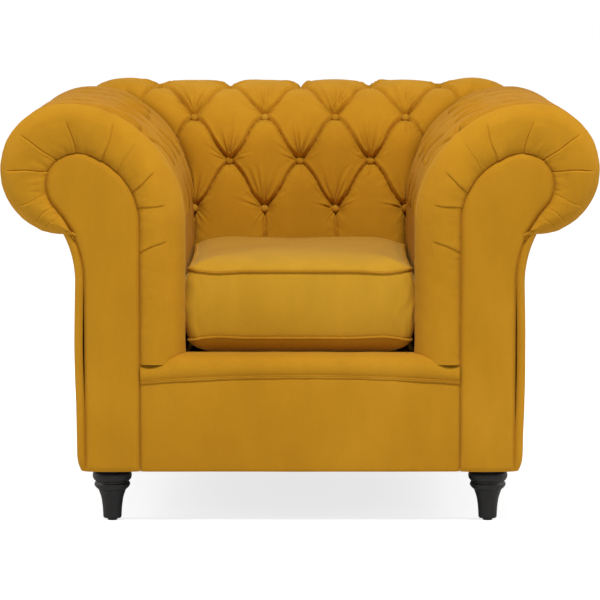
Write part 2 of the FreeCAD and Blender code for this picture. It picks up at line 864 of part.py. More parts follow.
def cushion_outline(inset, z):
    """Rounded outline with softly bowed sides, all its arcs tangent."""
    bow = cushion_side_bow
    radius = cushion_corner_radius
    half_x = cushion_half_width - inset
    half_y = cushion_half_depth - inset
    cx = half_x - radius - bow
    cy = half_y - radius - bow

    def touch_offsets(reach):
        big = (reach ** 2 + (radius + bow) ** 2 - radius ** 2) / (2 * bow)
        away = big - radius
        return radius * reach / away, radius * (big - radius - bow) / away

    side_x, up_x = touch_offsets(cx)
    side_y, up_y = touch_offsets(cy)

    def p(x, y):
        return V(x, cushion_middle + y, z)

    def quadrant(sx, sy):
        start = p(sx * (cx + side_x), sy * (cy + up_x))
        end = p(sx * (cx + up_y), sy * (cy + side_y))
        along = math.sqrt(0.5) * radius
        return start, p(sx * (cx + along), sy * (cy + along)), end

    fr, fr_mid, fr_end = quadrant(1, -1)
    br, br_mid, br_end = quadrant(1, 1)
    bl, bl_mid, bl_end = quadrant(-1, 1)
    fl, fl_mid, fl_end = quadrant(-1, -1)
    return Part.Wire([
        arc(fl, p(0, -half_y), fr), arc(fr, fr_mid, fr_end),
        arc(fr_end, p(half_x, 0), br_end), arc(br_end, br_mid, br),
        arc(br, p(0, half_y), bl), arc(bl, bl_mid, bl_end),
        arc(bl_end, p(-half_x, 0), fl_end), arc(fl_end, fl_mid, fl)])


def cushion_loop(inset, z):
    """Points round the outline, always the same number on each side and corner."""
    points = []
    for n, edge in enumerate(cushion_outline(inset, z).Edges):
        count = cushion_corner_steps if n % 2 else cushion_side_steps
        points += edge.discretize(count + 1)[:-1]
    return points


def crown(edge_z, rise):
    """Loops of the domed top or bottom of the cushion, from near its edge to its middle."""
    steps = ((14.0, 0.42), (40.0, 0.74), (80.0, 0.92), (130.0, 1.0))
    return [cushion_loop(boxing_draw_in + inset, edge_z + rise * share)
            for inset, share in steps]


def welt_loop(z, corner):
    """One of the six lengthwise edges of the cord round the cushion's seam."""
    turn = corner * math.pi / 3
    return cushion_loop(boxing_draw_in + 1.0 + welt_radius * math.cos(turn),
                        z + welt_radius * math.sin(turn))


def make_cushion_core():
    inset = core_inset
    middle = boxing_middle - 3.0
    return box(-cushion_half_width + inset, cushion_half_width - inset,
               cushion_front + inset, cushion_rear - inset,
               middle - core_thickness / 2, middle + core_thickness / 2)


def make_welt(z):
    return faceted([welt_loop(z, corner) for corner in range(6)], ring=True)


def zip_slot():
    half = zip_length / 2 + 4.0
    return box(-half, half, cushion_rear - zip_recess, cushion_rear + 20.0,
               boxing_middle - zip_width / 2 - 1.0, boxing_middle + zip_width / 2 + 1.0)


def make_cushion_cover(core):
    """Crowned top and bottom, grooves that the cords lie in, and a bowed border."""
    rise = welt_radius * math.sin(math.pi / 3)
    quarter = boxing_height / 4
    lower = crown(boxing_bottom, cushion_bottom - boxing_bottom)[::-1]
    lower_groove = [welt_loop(boxing_bottom, corner) for corner in (5, 0, 1)]
    border = [cushion_loop(boxing_draw_in, boxing_bottom + rise),
              cushion_loop(boxing_draw_in * 0.3, boxing_middle - quarter),
              cushion_loop(0.0, boxing_middle),
              cushion_loop(boxing_draw_in * 0.3, boxing_middle + quarter),
              cushion_loop(boxing_draw_in, boxing_top - rise)]
    upper_groove = [welt_loop(boxing_top, corner) for corner in (5, 0, 1)]
    upper = crown(boxing_top, crown_height)
    cover = faceted(lower + lower_groove + border + upper_groove + upper)
    return cover.cut(core).cut(zip_slot())


def make_zip():
    half = zip_length / 2
    floor = cushion_rear - zip_recess
    tape = box(-half, half, floor, floor + zip_tape,
               boxing_middle - zip_width / 2, boxing_middle + zip_width / 2)
    teeth = box(-half, half, floor + zip_tape, floor + zip_tape + 0.8,
                boxing_middle - 1.5, boxing_middle + 1.5)
    return tape.fuse(teeth).removeSplitter()


def make_slider():
    """Zip slider with its pull hanging flat, at the closed end of the zip."""
    back = cushion_rear - zip_recess + zip_tape + 0.8 + touch
    x0 = -zip_length / 2 + 4.0
    body = box(x0, x0 + slider_length, back, back + slider_height - 1.0,
               boxing_middle - slider_width / 2, boxing_middle + slider_width / 2)
    pull = box(x0 + slider_length / 2, x0 + slider_length / 2 + pull_length,
               back + slider_height - 1.0, back + slider_height - 1.0 + pull_thickness,
               boxing_middle - 2.5, boxing_middle + 2.5)
    return body.fuse(pull).removeSplitter()


def build():
    places = leg_places()
    feet = list(places.values())
    nodes = {}

    def both(name, shape):
        nodes[name + "_right"] = shape
        nodes[name + "_left"] = mirrored(shape)

    nodes["front_seat_rail"] = box(-facing_inner, facing_inner, front_rail_front,
                                   front_rail_rear, body_floor, rail_top)
    nodes["rear_seat_rail"] = box(-facing_inner, facing_inner, rear_rail_front,
                                  rear_rail_rear, body_floor, rail_top)
    both("side_seat_rail", box(facing_inner, facing_inner + rail_thickness, post_rear,
                               rear_rail_rear, body_floor, rail_top))
    both("front_arm_post", make_front_post())
    both("back_post", make_back_post())
    both("inside_arm_board", box(facing_inner, facing_inner + board_thickness, post_rear,
                                 rear_rail_front, rail_top, board_top))
    both("arm_roll_former", arm_former.shell(on_arm, post_rear, rear_rail_front))
    nodes["back_board"] = make_back_board()
    reach = facing_inner - 2 * touch
    nodes["back_roll_former"] = back_former.shell(on_back, -reach, reach)
    nodes["corner_blocks"] = make_blocks(feet)

    nodes["seat_springs"] = make_springs()
    nodes["spring_clips"] = make_clips()
    nodes["seat_deck"] = make_deck()
    welt = make_front_welt()
    nodes["front_welt"] = welt
    nodes["deck_front_edge"] = make_deck_edge(welt)
    nodes["front_panel"] = make_front_panel(welt)

    both("inside_arm_pad", make_arm_pad())
    both("arm_buttons", Part.makeCompound([button(*seat) for seat in arm_seats]))
    both("arm_front_border", make_front_border())
    both("facing_panel", make_facing())
    both("outside_arm_panel", make_outside_arm())
    nodes["back_pad"] = make_back_pad()
    nodes["back_buttons"] = Part.makeCompound([button(*seat) for seat in back_seats])
    nodes["outside_back_panel"] = make_outside_back()
    nodes["dust_cover"] = make_dust_cover(feet)

    nodes["front_legs"] = Part.makeCompound([make_leg(foot) for foot in feet if foot.y < 0])
    nodes["rear_legs"] = Part.makeCompound([make_leg(foot) for foot in feet if foot.y > 0])
    nodes["leg_bolts"] = make_bolts(feet)
    nodes["leg_nuts"] = make_nuts(feet)
    nodes["foot_glides"] = make_glides(feet)

    core = make_cushion_core()
    welts = [make_welt(boxing_top), make_welt(boxing_bottom)]
    nodes["cushion_core"] = core
    nodes["cushion_cover"] = make_cushion_cover(core)
    nodes["cushion_welt_top"] = welts[0]
    nodes["cushion_welt_bottom"] = welts[1]
    nodes["cushion_zip"] = make_zip()
    nodes["zip_slider"] = make_slider()
    return nodes


os.makedirs("parts", exist_ok=True)
for node_name, node_shape in build().items():
    node_shape.exportStep("parts/" + node_name + ".step")
    size = node_shape.BoundBox
    print(f"{node_name:26s} solids {len(node_shape.Solids):2d} valid {node_shape.isValid()} "
          f"volume {node_shape.Volume / 1000:9.1f} cm3  "
          f"x {size.XMin:7.1f} {size.XMax:7.1f}  y {size.YMin:7.1f} {size.YMax:7.1f}  "
          f"z {size.ZMin:6.1f} {size.ZMax:6.1f}")
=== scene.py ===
import json
import math
import bpy
import numpy as np
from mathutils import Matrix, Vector


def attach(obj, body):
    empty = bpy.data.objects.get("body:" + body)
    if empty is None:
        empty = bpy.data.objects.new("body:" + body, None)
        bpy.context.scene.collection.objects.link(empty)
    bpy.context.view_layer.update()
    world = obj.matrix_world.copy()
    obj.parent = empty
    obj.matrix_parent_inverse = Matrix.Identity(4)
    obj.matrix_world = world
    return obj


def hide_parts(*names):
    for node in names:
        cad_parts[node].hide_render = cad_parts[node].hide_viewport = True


# Looks of a deep-buttoned scroll-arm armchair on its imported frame, in metres.
# Where a function takes a side, 1 is the side at +x and -1 the other.

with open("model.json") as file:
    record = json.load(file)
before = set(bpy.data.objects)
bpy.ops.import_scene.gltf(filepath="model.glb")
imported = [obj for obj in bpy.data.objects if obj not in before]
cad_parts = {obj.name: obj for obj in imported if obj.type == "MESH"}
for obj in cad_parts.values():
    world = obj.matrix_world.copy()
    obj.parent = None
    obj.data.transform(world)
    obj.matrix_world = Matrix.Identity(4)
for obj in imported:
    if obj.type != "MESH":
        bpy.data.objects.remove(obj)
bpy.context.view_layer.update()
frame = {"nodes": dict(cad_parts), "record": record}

# Sizes shared with the solids
half_seat = 0.213
arm_face = 0.227
scroll_radius = 0.119
scroll_x = 0.431
scroll_bottom = 0.541
scroll_y = 0.331
arm_top = 0.779
roll_top = 0.776
roll_radius = 0.116
deck_z = 0.3
border_rear = -0.405
first_row = 0.243
row_pitch = 0.097
back_pitch = 0.431 / 3
arm_pitch = 0.15
back_foot = 0.148
back_lean = 8.0
back_padding = 0.055
back_outer = scroll_y - 0.032
body_floor = 0.103
facing_inner = 0.297
facing_outer = 0.399
head_radius = 0.059
head_z = 0.632
sweep_radius = 0.134
sweep_turn = math.radians(16.5)
neck_radius = 0.22
panel_thickness = 0.014
leg_x = 0.352
front_leg_y = -0.388
rear_leg_y = 0.253

# The covers reach round the lower edge of the frame
hem_z = 0.0995


# Numbers and grids

def smooth(edge0, edge1, x):
    """0 before the first edge, 1 past the second, eased between them."""
    t = np.clip((x - edge0) / (edge1 - edge0), 0.0, 1.0)
    return t * t * (3 - 2 * t)


def falloff(x, width, power=2):
    """1 at zero, dying away over the width."""
    return np.exp(-(x / width) ** power)


def fraction(x):
    return x - np.floor(x)


def lattice(ix, iy, seed):
    """Repeatable value between 0 and 1 for whole-number pairs."""
    n = (ix.astype(np.int64) * 374761393 + iy.astype(np.int64) * 668265263
         + seed * 1442695041) & 0x7FFFFFFF
    n = ((n ^ (n >> 13)) * 1274126177) & 0x7FFFFFFF
    return ((n ^ (n >> 16)) & 0xFFFF) / 65535.0


def value_noise(x, y, seed):
    """Smooth noise between -1 and 1 with a period of one unit."""
    ix, iy = np.floor(x), np.floor(y)
    fx, fy = x - ix, y - iy
    fx, fy = fx * fx * (3 - 2 * fx), fy * fy * (3 - 2 * fy)
    a, b = lattice(ix, iy, seed), lattice(ix + 1, iy, seed)
    c, d = lattice(ix, iy + 1, seed), lattice(ix + 1, iy + 1, seed)
    return ((a * (1 - fx) + b * fx) * (1 - fy) + (c * (1 - fx) + d * fx) * fy) * 2 - 1


def fractal(x, y, seed, octaves=3):
    total, size = 0.0, 1.0
    for n in range(octaves):
        total = total + size * value_noise(x * 2 ** n, y * 2 ** n, seed + n)
        size *= 0.5
    return total


def sided(name, side):
    return name + ("_right" if side > 0 else "_left")


def piece(name, vertices, faces, material, node,
          body="chair"):
    """Mesh that rides on a body in place of a solid, which it hides."""
    mesh = bpy.data.meshes.new(name)
    mesh.from_pydata([tuple(v) for v in vertices], [], faces)
    mesh.update()
    mesh.polygons.foreach_set("use_smooth", [True] * len(mesh.polygons))
    obj = bpy.data.objects.new(name, mesh)
    bpy.context.collection.objects.link(obj)
    mesh.materials.append(material)
    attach(obj, body)
    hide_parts(node)


def grid_faces(rows, columns, wrap=False, flip=False, offset=0):
    faces = []
    for r in range(rows - 1):
        for c in range(columns if wrap else columns - 1):
            a = offset + r * columns + c
            b = offset + r * columns + (c + 1) % columns
            d, e = a + columns, b + columns
            faces.append((a, d, e, b) if flip else (a, b, e, d))
    return faces


def grid_piece(name, x, y, z, material, node, flip=False, fill=None, side=None):
    """Grid of points as a piece. With a side it is mirrored, named after that side and
    flipped on the side that flip gives."""
    if side:
        name, node, x, flip = sided(name, side), sided(node, side), side * x, flip == side
    rows, columns = x.shape
    points = np.stack([x, y, z], -1).reshape(-1, 3)
    piece(name, points, grid_faces(rows, columns, flip=flip), material, node)


# Materials

def feed(node, values):
    """Set inputs of a node, or link them where the value is another node's output."""
    for key, value in values.items():
        socket = node.inputs[key.replace("_", " ") if isinstance(key, str) else key]
        if isinstance(value, bpy.types.NodeSocket):
            node.id_data.links.new(value, socket)
        else:
            socket.default_value = value


def add(tree, kind, output=0, **values):
    node = tree.nodes.new("ShaderNode" + kind)
    feed(node, values)
    return node.outputs[output]


def join(tree, kind, *sources, inputs=(0, 1, 2), output=0, **settings):
    """Node that joins sources by its numbered inputs."""
    node = tree.nodes.new("ShaderNode" + kind)
    for key, value in settings.items():
        setattr(node, key, value)
    feed(node, dict(zip(inputs, sources)))
    return node.outputs[output]


def new_material(name):
    material = bpy.data.materials.new(name)
    material.use_nodes = True
    tree = material.node_tree
    return material, tree, tree.nodes["Principled BSDF"]


def noise(tree, scale, detail, roughness, stretch=None):
    """Noise pattern over the object's own coordinates."""
    place = add(tree, "TexCoord", "Object")
    if stretch:
        place = add(tree, "Mapping", Vector=place, Scale=stretch)
    return add(tree, "TexNoise", "Fac", Vector=place, Scale=scale, Detail=detail,
               Roughness=roughness)


def dimples(tree, scale):
    """Pattern of small round cells over the object's own coordinates."""
    return add(tree, "TexVoronoi", "Distance", Vector=add(tree, "TexCoord", "Object"),
               Scale=scale)


def ramp(tree, source, stops):
    colour = add(tree, "ValToRGB", Fac=source)
    elements = colour.node.color_ramp.elements
    while len(elements) < len(stops):
        elements.new(0.5)
    for element, (position, shade) in zip(elements, stops):
        element.position = position
        element.color = (*shade, 1.0)
    return colour


def velvet(name, base, dark, light, nap=3.0, sheen=0.22):
    """Short pile velvet: cloudy nap, faint streaks, fine pile and a soft sheen."""
    material, tree, shader = new_material(name)
    clouds = noise(tree, nap, 4.0, 0.55)
    streaks = noise(tree, 22.0, 3.0, 0.6, (1.0, 1.0, 0.28))
    pile = noise(tree, 900.0, 2.0, 0.6)
    colour = ramp(tree, clouds, [(0.24, dark), (0.52, base), (0.8, light)])
    for share, pattern, stops in (
            (0.55, streaks, [(0.36, (0.93, 0.92, 0.9)), (0.66, (1.05, 1.05, 1.06))]),
            (0.7, pile, [(0.35, (0.9, 0.88, 0.85)), (0.65, (1.06, 1.06, 1.06))])):
        colour = join(tree, "Mix", share, colour, ramp(tree, pattern, stops),
                      inputs=(0, 6, 7), output=2, data_type="RGBA", blend_type="MULTIPLY")
    soft = add(tree, "Bump", Height=streaks, Strength=0.16, Distance=0.0012)
    fine = add(tree, "Bump", Height=pile, Strength=0.22, Distance=0.0002, Normal=soft)
    feed(shader, {"Base Color": colour, "Normal": fine, "Roughness": 0.92,
                  "Specular IOR Level": 0.18, "Sheen Weight": sheen,
                  "Sheen Roughness": 0.38, "Sheen Tint": (1.0, 0.7, 0.2, 1.0)})
    return material


def plain(name, pattern, stops, bump=None, worn=None, **values):
    """Surface whose colour follows one pattern, as do its relief and wear if given."""
    material, tree, shader = new_material(name)
    source = noise(tree, *pattern) if isinstance(pattern, tuple) else dimples(tree, pattern)
    feed(shader, {"Base Color": ramp(tree, source, stops), **values})
    if worn:
        marks, rough, polished = worn
        wear = ramp(tree, noise(tree, *marks), [(0.3, (rough,) * 3), (0.7, (polished,) * 3)])
        feed(shader, {"Roughness": wear})
    if bump:
        strength, distance = bump
        feed(shader, {"Normal": add(tree, "Bump", Height=source, Strength=strength,
                                    Distance=distance)})
    return material


def metal(name, base, rough):
    marks = (160.0, 4.0, 0.6)
    return plain(name, marks, [(0.3, tuple(c * 0.8 for c in base)), (0.7, base)],
                 worn=(marks, rough + 0.12, rough), Metallic=1.0)


def woven(name, base, scale):
    """Non-woven sheet or tape with a dimpled pattern."""
    return plain(name, scale, [(0.1, tuple(c * 0.6 for c in base)), (0.6, base)],
                 bump=(0.4, 0.0004), Roughness=0.95)


cloth = velvet("velvet", (0.5, 0.232, 0.0085), (0.45, 0.203, 0.0065),
               (0.555, 0.27, 0.014))
# Painted light and shade: the seat's copy of the velvet is coloured lighter to stand in for
# light on the cushion, and the copy for the inside arms and their rolls darker to stand in for
# shade there
lit_seat_cloth = velvet("velvet_seat_lit", (0.565, 0.298, 0.018), (0.515, 0.26, 0.013),
                    (0.615, 0.338, 0.027), sheen=0.95)
shaded_roll_cloth = velvet("velvet_roll_shaded", (0.45, 0.199, 0.006), (0.395, 0.169, 0.0044),
                    (0.485, 0.224, 0.009), sheen=0.05)
button_cloth = velvet("velvet_button", (0.47, 0.222, 0.01), (0.4, 0.178, 0.0062),
                      (0.56, 0.29, 0.026), nap=9.0)
crease_cloth = velvet("velvet_piping", (0.455, 0.212, 0.0088), (0.39, 0.17, 0.0058),
                      (0.545, 0.275, 0.022), nap=6.0)
# Satin lacquer over turned wood, with faint grain and worn high spots
black_wood = plain("black_lacquer", (60.0, 5.0, 0.6, (1.0, 1.0, 0.12)),
                   [(0.3, (0.004, 0.0036, 0.0034)), (0.75, (0.011, 0.0098, 0.009))],
                   bump=(0.08, 0.0004), worn=((45.0, 3.0, 0.5), 0.42, 0.56),
                   Coat_Weight=0.08, Coat_Roughness=0.25, Specular_IOR_Level=0.3)
dust_cloth = woven("black_cloth", (0.018, 0.018, 0.019), 900.0)

carried = {
    "frame_timber": plain("frame_timber", (35.0, 6.0, 0.65, (1.0, 0.08, 1.0)),
                          [(0.3, (0.36, 0.21, 0.1)), (0.55, (0.52, 0.34, 0.18)),
                           (0.78, (0.62, 0.44, 0.26))], (0.2, 0.0006), Roughness=0.72),
    "seat_foam": plain("seat_foam", (400.0, 3.0, 0.6),
                       [(0.35, (0.68, 0.62, 0.46)), (0.62, (0.86, 0.81, 0.66))],
                       (0.5, 0.0008), Roughness=0.96),
    "glide_plastic": plain("glide_plastic", (300.0, 3.0, 0.6),
                           [(0.3, (0.01,) * 3), (0.7, (0.022,) * 3)], Roughness=0.55),
    "steel": metal("steel", (0.42, 0.42, 0.43), 0.34),
    "zip_metal": metal("zip_metal", (0.55, 0.4, 0.15), 0.28),
    "zip_tape": woven("zip_tape", (0.3, 0.155, 0.012), 1400.0),
    "black_cloth": dust_cloth, "black_turned_wood": black_wood,
    "velvet_cover": cloth, "velvet_button": button_cloth,
}
slot_of = {entry["node"]: entry["material_slot"] for entry in frame["record"]["subparts"]}
for node_name, node in frame["nodes"].items():
    chosen = carried[slot_of[node_name]]
    if node.data.materials:
        for index in range(len(node.data.materials)):
            node.data.materials[index] = chosen
    else:
        node.data.materials.append(chosen)


# Profiles of the padded walls

class Roll:
    """Leaning face, sweep over the top and scroll, with 'out' away from the seat."""

    def __init__(self, scroll_out, top, foot, lean_degrees, radius):
        lean = math.radians(lean_degrees)
        reach = scroll_out - foot - (top - deck_z) * math.tan(lean)
        self.scroll_out, self.top, self.foot, self.lean = scroll_out, top, foot, lean
        self.radius = radius
        self.sweep = reach * math.cos(lean) / (1 - math.sin(lean))
        self.face_top = top - self.sweep + self.sweep * math.sin(lean)
        self.face_length = (self.face_top - deck_z) / math.cos(lean)
        self.crest = self.face_length + self.sweep * (math.pi / 2 - lean)
        self.end = self.crest + math.pi * radius

    def at(self, s):
        """Out, height and outward normal at distances up from the deck."""
        s = np.asarray(s, float)
        lean, sweep, top, radius = self.lean, self.sweep, self.top, self.radius
        turn = lean + (s - self.face_length) / sweep
        over = (s - self.crest) / radius

        def pick(face, swept, scroll):
            return np.where(s <= self.face_length, face,
                            np.where(s <= self.crest, swept, scroll))

        return (pick(self.foot + s * math.sin(lean), self.scroll_out - sweep * np.cos(turn),
                     self.scroll_out + radius * np.sin(over)),
                pick(deck_z + s * math.cos(lean), top - sweep + sweep * np.sin(turn),
                     top - radius + radius * np.cos(over)),
                pick(-math.cos(lean), -np.cos(turn), np.sin(over)),
                pick(math.sin(lean), np.sin(turn), np.cos(over)))

    def out_at(self, z, outside):
        """Out of the surface at heights, on its seat side or past its crest."""
        face = self.foot + (z - deck_z) * math.tan(self.lean)
        rise = np.clip((z - (self.top - self.sweep)) / self.sweep, -1, 1)
        sweep = self.scroll_out - self.sweep * np.sqrt(1 - rise ** 2)
        up = np.clip((z - (self.top - self.radius)) / self.radius, -1, 1)
        outer = self.scroll_out + self.radius * np.sqrt(1 - up ** 2)
        return np.where(outside, outer, np.where(z <= self.face_top, face, sweep))


arm_roll = Roll(scroll_x, roll_top, arm_face, 0.0, roll_radius)
back_roll = Roll(scroll_y, roll_top, back_foot, back_lean, roll_radius)
border_roll = Roll(scroll_x, arm_top, half_seat, 0.0, scroll_radius)


# Deep buttoning

corner_slope = (scroll_y - back_foot) / (scroll_x - arm_face)
button_clearance = 0.0225


def back_reach(out):
    return scroll_x - (scroll_y - out) / corner_slope - button_clearance


def arm_reach(out):
    return scroll_y - corner_slope * (scroll_x - out) - button_clearance


def button_places(roll, pitch, low, high):
    """Place along the wall and distance up it of every button, after its row."""
    places = []
    for row in range(4):
        s = first_row + row * row_pitch
        out = float(roll.at(s)[0])
        shift = 0.0 if row % 2 else 0.5
        for k in range(-6, 7):
            u = (k + shift) * pitch
            if low(out) < u < high(out):
                places.append((row, u, s))
    return places


back_places = button_places(back_roll, back_pitch, lambda out: -back_reach(out), back_reach)
arm_places = button_places(arm_roll, arm_pitch, lambda out: border_rear + button_clearance,
                           arm_reach)

# Wrinkles round a button: degrees, play, shortest and longest
wrinkle_fan = [(56 + 68 * (k + 0.5) / 9, 3, 0.03, 0.062) for k in range(9)]
wrinkle_fan += [(angle, 5, 0.022, 0.04) for angle in (24, 41, 139, 156)]
wrinkle_fan += [(222 + 96 * (k + 0.5) / 4, 8, 0.012, 0.024) for k in range(4)]

# Depths and heights of what the stuffing and the cloth do
pleat_depth, pleat_tightening = 0.014, 0.01
pit_depth, pit_width = 0.0075, 0.015
wrinkle_height = 0.005
slit_depth, slit_width = 0.0026, 0.003
lip_height, lip_away, lip_width = 0.0016, 0.0065, 0.0034
stuffing_play = 0.003
bow = 0.03
wall_crown, roll_crown, under_crown = 0.013, 0.011, 0.003


def dome(share):
    """Fullness across a cell, steeper where the upper cell hangs over its pleat."""
    share = np.clip(share, 0, 1) ** 0.84
    return np.clip(4 * share * (1 - share), 0, 1)


def wrinkles(du, ds, random):
    """Ridges that fan out from a button, most and longest above it."""
    total = np.zeros_like(du)
    for angle, play, shortest, longest in wrinkle_fan:
        turn = math.radians(angle + random.uniform(-play, play))
        long = random.uniform(shortest, longest)
        bend = random.uniform(-2.4, 2.4)
        size = random.uniform(0.5, 1.4)
        along = du * math.cos(turn) + ds * math.sin(turn)
        off = ds * math.cos(turn) - du * math.sin(turn) + bend * along ** 2
        width = 0.0011 + 0.036 * np.clip(along, 0, 1)
        ridge = falloff(off, width) - 0.75 * falloff(off - 2 * width, width)
        total += size * ridge * smooth(0.005, 0.013, along) * falloff(along, long)
    return total


def tufting(u, s, pitch, places, seed):
    """Height of the stuffed cells over the wall at (u, s), zero at their crowns."""
    lean_u = u + 0.0018 * fractal(u * 12, s * 12, seed + 40, 2)
    lean_s = s + 0.0018 * fractal(u * 12 + 7, s * 12, seed + 50, 2)
    across = lean_u / pitch
    row = (lean_s - first_row) / row_pitch
    # The pleats bow downwards between the buttons
    a = across + (row - 1) / 2
    b = -across + (row - 1) / 2
    inside = smooth(-0.02, 0.25, row) * smooth(3.02, 2.75, row)
    bow_a = bow * np.sin(2 * np.pi * b) * inside
    bow_b = bow * np.sin(2 * np.pi * a) * inside
    a, b = a + bow_a, b + bow_b
    fa, fb = fraction(a), fraction(b)
    low, high = fraction(across + 0.5), fraction(across)
    below, above = row < 0, row > 3
    cell = np.where(below, dome(low) * dome(1 - low),
                    np.where(above, dome(high) * dome(1 - high), dome(fa) * dome(fb)))
    power = 0.25 - 0.125 * smooth(0.0, -1.0, row) - 0.03 * smooth(3.0, 4.0, row)
    pillow = cell ** power
    # The pleats tighten towards the buttons, and each button sits in a pit
    tight, pit, wrinkle = np.zeros_like(u), np.zeros_like(u), np.zeros_like(u)
    random = np.random.RandomState(seed)
    reach = 0.085
    for _, u0, s0 in places:
        near = (np.abs(u - u0) < reach) & (np.abs(s - s0) < reach)
        du, ds = (u - u0)[near], (s - s0)[near]
        far = np.sqrt(du ** 2 + ds ** 2)
        tight[near] = np.maximum(tight[near], falloff(far, 0.034, 1.5))
        pit[near] += falloff(far, pit_width, 2.4)
        wrinkle[near] += wrinkles(du, ds, random)
    fade = smooth(-2.45, -0.4, row)
    loose = 1 - 0.62 * smooth(3.2, 5.4, row)
    pleat = (pleat_depth + pleat_tightening * tight) * (0.45 + 0.55 * fade) * loose
    height = -pleat * (1 - pillow) - pit_depth * pit
    height += wrinkle_height * wrinkle * (0.45 + 0.55 * smooth(0.0, 0.3, cell))
    # Each pleat is folded under: a slit with a rolled edge above it
    spacing = pitch * row_pitch / math.hypot(pitch / 2, row_pitch)

    def away(part, width):
        return np.minimum(part, 1 - part) * width

    slit = np.where(below, away(low, pitch),
                    np.where(above, away(high, pitch),
                             np.minimum(away(fa, spacing), away(fb, spacing))))
    height -= slit_depth * falloff(slit, slit_width, 1.5) * loose
    lip_a, lip_b = (falloff(part * spacing - lip_away, lip_width) for part in (fa, fb))
    height += lip_height * (lip_a + lip_b) * inside
    # No two cells are stuffed alike
    which = lattice(np.floor(a), np.floor(b), seed + 5) - 0.5
    height += stuffing_play * which * cell * inside
    # Drag lines from the pleats and a little unevenness of the stuffing
    drag = fractal(a * 13 + 3 * b, b * 2.5, seed + 9, 2) * (1 - cell) ** 2
    drag = drag + fractal(a * 2.5, b * 13 + 3 * a, seed + 19, 2) * (1 - cell) ** 2
    height += 0.0008 * drag
    return height + 0.001 * fractal(u * 15, s * 15, seed + 30, 2)


def crown_height(s, roll):
    """How far the cells' crowns stand out from the wall, less under the scroll."""
    start = first_row + 3 * row_pitch
    share = np.clip(1.7 * (s - start) / (roll.end - start), 0, 1)
    over = roll_crown + (under_crown - roll_crown) * share
    return np.where(s < start, wall_crown, over)


grid_step = 0.002
mitre_depth, mitre_width = 0.019, 0.013
# The covers cross each other behind the mitre, further on the side of the seat
mitre_overlap, seat_overlap = 0.004, 0.036


def wall(roll, other):
    """Distances up a wall, its shape there, and where it meets the other wall."""
    s = np.append(np.arange(0.0, roll.end, grid_step), roll.end)
    shape = roll.at(s)
    past = s > roll.crest
    mitre = other.out_at(shape[1], past)
    reach = mitre + np.where(past, mitre_overlap, seat_overlap)
    return s, shape, mitre[:, None], reach[:, None]


def off_wall(shape, S, height):
    """Out and height of a cover at heights off its wall, tucked in at the deck."""
    out, z, n_out, n_z = (values[:, None] for values in shape)
    foot = smooth(0.0, 0.05, S)
    height = height * foot - 0.006 * (1 - foot)
    return out + n_out * height, z + n_z * height


def make_back():
    s, shape, mitre, reach = wall(back_roll, arm_roll)
    share = np.linspace(-1, 1, int(0.96 / grid_step))
    S, T = np.meshgrid(s, share, indexing="ij")
    U = T * reach
    height = crown_height(S, back_roll) + tufting(U, S, back_pitch, back_places, 11)
    corner = np.clip(mitre - np.abs(U), 0, 1)
    height -= mitre_depth * falloff(corner, mitre_width, 1.1)
    # The top is stuffed fuller, and the corner cells stand highest
    over = smooth(0.44, 0.58, S) * smooth(0.88, 0.7, S)
    height += 0.0095 * over * smooth(0.01, 0.06, corner)
    height += 0.0045 * (falloff(np.abs(U) - 0.352, 0.042) * over)
    # Fold from each corner puff down into the mitre
    rising = s <= back_roll.crest
    s0, s1 = (float(np.interp(v, shape[1][rising], s[rising])) for v in (0.773, 0.733))
    u0, u1 = 0.369, 0.316
    run = np.clip(((np.abs(U) - u0) * (u1 - u0) + (S - s0) * (s1 - s0))
                  / ((u1 - u0) ** 2 + (s1 - s0) ** 2), 0, 1)
    off = np.hypot(np.abs(U) - u0 - run * (u1 - u0), S - s0 - run * (s1 - s0))
    height -= 0.0062 * falloff(off, 0.0046, 1.2) * smooth(-0.02, 0.35, run)
    Y, Z = off_wall(shape, S, height)
    grid_piece("back_cover", U, Y, Z, cloth, "back_pad", flip=True, fill=0.8)


def make_arm(side):
    s, shape, mitre, reach = wall(arm_roll, back_roll)
    start = border_rear - 0.006
    share = np.linspace(0, 1, int(0.74 / grid_step))
    S, T = np.meshgrid(s, share, indexing="ij")
    Y = start + T * (reach - start)
    seed = 23 if side > 0 else 31
    height = crown_height(S, arm_roll) + tufting(Y, S, arm_pitch, arm_places, seed)
    corner = np.clip(mitre - Y, 0, 1)
    height -= mitre_depth * falloff(corner, mitre_width, 1.1)
    height -= 0.02 * falloff(Y - start, 0.011, 1.2)
    X, Z = off_wall(shape, S, height)
    # The inside arms wear the darker copy of the velvet, which paints shade on them
    grid_piece("arm_cover", X, Y, Z, shaded_roll_cloth, "inside_arm_pad", -1, 0.8, side)


# Radius and height of a covered button's rings, from its middle to its gathered rim
button_rings = (
    (0.0, 0.0062), (0.003, 0.0059), (0.0056, 0.0049), (0.0076, 0.003), (0.0085, 0.0008),
    (0.0082, -0.0016), (0.007, -0.003),
)
button_sink = -0.008


def make_button_set(name, node, roll, places, place):
    vertices, faces = [], []
    around = 28
    for row, u, s in places:
        out, z, n_out, n_z = (float(v) for v in roll.at(s))
        centre = Vector(place(u, out + n_out * button_sink, z + n_z * button_sink))
        n = Vector(place(0, n_out, n_z)).normalized()
        x = n.orthogonal().normalized()
        y = n.cross(x)
        spin = u * 37 + row
        base = len(vertices)
        vertices.append(centre + n * button_rings[0][1])
        for radius, up in button_rings[1:]:
            for k in range(around):
                t = 2 * math.pi * k / around
                r = radius * (1 + 0.018 * math.sin(9 * t + spin) * (radius / 0.0085) ** 3)
                vertices.append(centre + x * (r * math.cos(t)) + y * (r * math.sin(t))
                                + n * up)
        for k in range(around):
            faces.append((base, base + 1 + k, base + 1 + (k + 1) % around))
        faces += grid_faces(len(button_rings) - 1, around, wrap=True, flip=True,
                            offset=base + 1)
    piece(name, vertices, faces, button_cloth, node)


